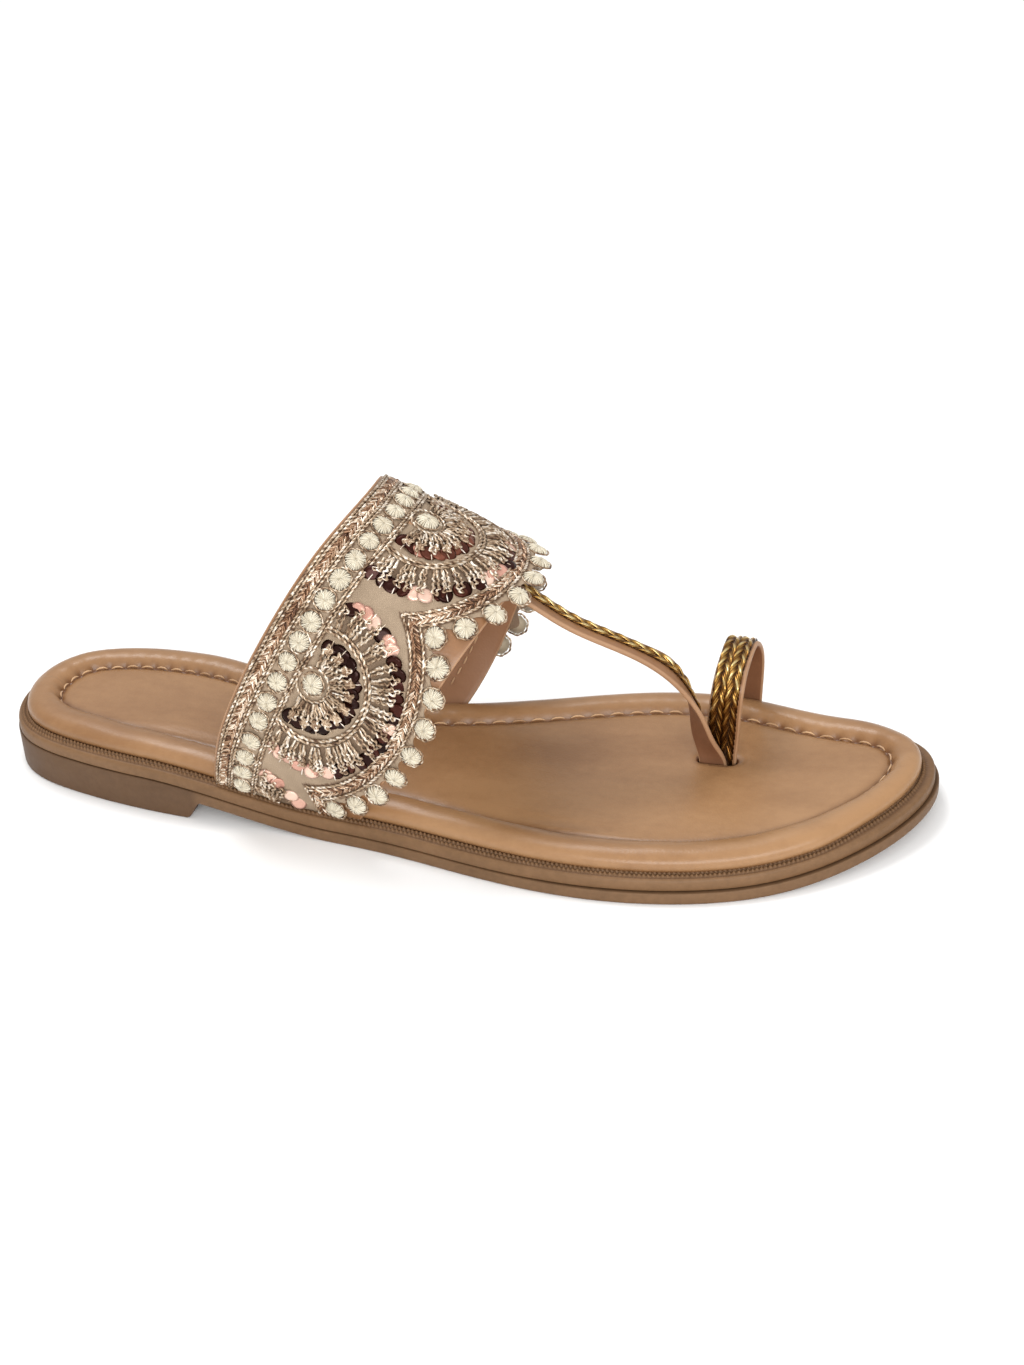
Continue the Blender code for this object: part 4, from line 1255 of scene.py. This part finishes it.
def lay_sequins(heap, centre, angles, radius, size, tones):
    angles = angles + rng.normal(0, 1.2, len(angles))
    ring = radius + rng.normal(0, 0.25, len(angles))
    across, along, ray, side, en = polar_frames(centre, ring, angles)
    keep = above_hem(across, along, 0.8) & (along > 13.9)
    tilt = rng.normal(0, 0.16, (len(angles), 2))
    normal = unit(en + ray * (0.12 + tilt[:, :1]) + side * tilt[:, 1:])
    ray = unit(ray - normal * (ray * normal).sum(1)[:, None])
    origin = sewn_point(across, along, FABRIC_TOP - 0.16 - rng.uniform(0, 0.2, len(angles)))
    heap.stamp(dome(20, 3, 0.5), origin, (ray * size, np.cross(normal, ray) * size, normal * 0.3), tones, keep)


def make_medallions():
    loops = Heap()
    tips = Heap()
    sequins = Heap()
    spike = grain(2, 0.32, 0.34, 6)
    for centre, (low, high, left, front, right) in zip(MEDALLIONS, SEQUIN_MOODS):
        for degrees in INNER_PETALS:
            tone = rng.uniform(0.5, 0.72)
            petal_loop(loops, centre, degrees + rng.normal(0, 1), 4.9, 11.1, 3, 0.42, tone, 0.75)
        for shift in (-3.4, 0, 3.4):
            lay_rays(tips, grain(2.5, 0.8, 0.75, 8), centre, INNER_PETALS + shift, 9.9, 0.85, 0.2, 1)
        lay_rays(loops, grain(3.2, 0.5, 0.5, 6), centre, INNER_PETALS, 7.2, 0.8, 0.4, 0.95)
        for degrees in OUTER_LOOPS:
            end = 22.3 + rng.normal(0, 0.4)
            tone = rng.uniform(0.52, 0.8)
            petal_loop(loops, centre, degrees + rng.normal(0, 0.9), 15.9, end, 2.3, 0.4, tone, 0.7)
        for radius, length in ((17.6, 3.4), (20.2, 2.6)):
            lay_rays(loops, grain(length, 0.5, 0.5, 6), centre, OUTER_LOOPS, radius, 0.75, 0.3, 0.95)
        lay_rays(loops, spike, centre, INNER_PETALS + rng.normal(0, 1, len(INNER_PETALS)), 12.1, 0.5, 0.6, 1)
        chosen = OUTER_LOOPS[rng.uniform(0, 1, len(OUTER_LOOPS)) > 0.35]
        lay_rays(loops, spike, centre, chosen, 23.5, 0.5, 0.5, 1)
        lay_sequins(sequins, centre, np.linspace(-96, 96, 17), 10.8, 2.3, rng.uniform(low, high, 17))
        angles = np.linspace(-96, 96, 29)
        share = np.interp(angles, (-92, -50, -40, 45, 55, 92), (left, left, front, front, right, right))
        pale = rng.uniform(0, 1, len(angles)) < share
        tones = np.where(pale, rng.uniform(0.72, 1, len(angles)), rng.uniform(0, 0.35, len(angles)))
        lay_sequins(sequins, centre, angles, 22.3, 2.2, tones)
    loops.build("medallion_loops", "champagne_zari")
    tips.build("petal_tips", "satin_tips")
    sequins.build("sequins", "sequin_foil")


# ------ build
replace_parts(make_outsole(), "outsole")
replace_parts(make_welt(), "midsole")
footbed = make_footbed()
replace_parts(footbed, "footbed")
make_footbed_stitches()
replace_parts(make_band_leather(), "upper")
make_lining_stitches()
make_strap("t_strap", T_STRAP, 150)
make_strap("toe_loop", TOE_LOOP, 170)
make_gold_braids()
make_fabric()
make_ropes_and_braids()
make_discs()
make_medallions()


# ------ floor, light, camera
WORLD_STRENGTH = 0.87
CAMERA_PLACE = (307.55, -538.61, 355.61)
CAMERA_AXES = (                # to the right, up, and back from the shoe
    (0.96266, 0.26619, -0.04923),
    (-0.09158, 0.49138, 0.86612),
    (0.25475, -0.82927, 0.49741),
)
LENS = 66.54
LIGHTS = (                     # name, place and target in metres, size, watts
    ("overhead", (-0.35, 0.3, 1), (0, 0, 0), (0.6, 0.4), 6),
    ("front_fill", (0.85, -0.8, 0.62), (0, 0, 0.02), (0.6, 0.35), 4.7),
    ("side_fill", (0.2, -1, 0.45), (0, 0, 0.02), (0.7, 0.3), 5.9),
)


def make_floor():
    mesh = bpy.data.meshes.new("floor")
    mesh.from_pydata([(-6, -6, 0), (6, -6, 0), (6, 6, 0), (-6, 6, 0)], [], [(0, 1, 2, 3)])
    mesh.materials.append(FINISHES["floor_paper"])
    link("floor", mesh)


def make_world():
    """Pale studio surround, brightest overhead and along the horizon."""
    world = bpy.data.worlds.new("studio")
    bpy.context.scene.world = world
    sky = Nodes(world)
    way = sky.node("TexCoord").outputs["Generated"]
    height = sky.node("SeparateXYZ", {"Vector": way}).outputs["Z"]
    greys = [(at, (grey, grey, grey, 1)) for at, grey in ((0, 0.95), (0.25, 0.64), (1, 1))]
    background = sky.tree.nodes["Background"].inputs
    sky.put(background["Color"], sky.ramp(height, *greys))
    sky.put(background["Strength"], WORLD_STRENGTH)


def make_lights():
    for name, place, target, size, power in LIGHTS:
        light = bpy.data.lights.new(name, 'AREA')
        light.shape = 'RECTANGLE'
        light.size, light.size_y = size
        light.energy = power
        made = link(name, light)
        made.location = place
        made.rotation_euler = (Vector(target) - Vector(place)).to_track_quat('-Z', 'Y').to_euler()


def make_camera():
    data = bpy.data.cameras.new("camera")
    data.sensor_width = 36
    data.sensor_fit = 'AUTO'
    data.lens = LENS
    data.clip_start = 0.02
    data.clip_end = 20
    made = link("camera", data)
    turn = np.column_stack((*CAMERA_AXES, (np.array(CAMERA_PLACE) + SHIFT) * MM))
    made.matrix_world = Matrix((*turn, (0, 0, 0, 1)))
    bpy.context.scene.camera = made


make_floor()
make_world()
make_lights()
make_camera()
bpy.context.scene.view_settings.view_transform = 'Standard'
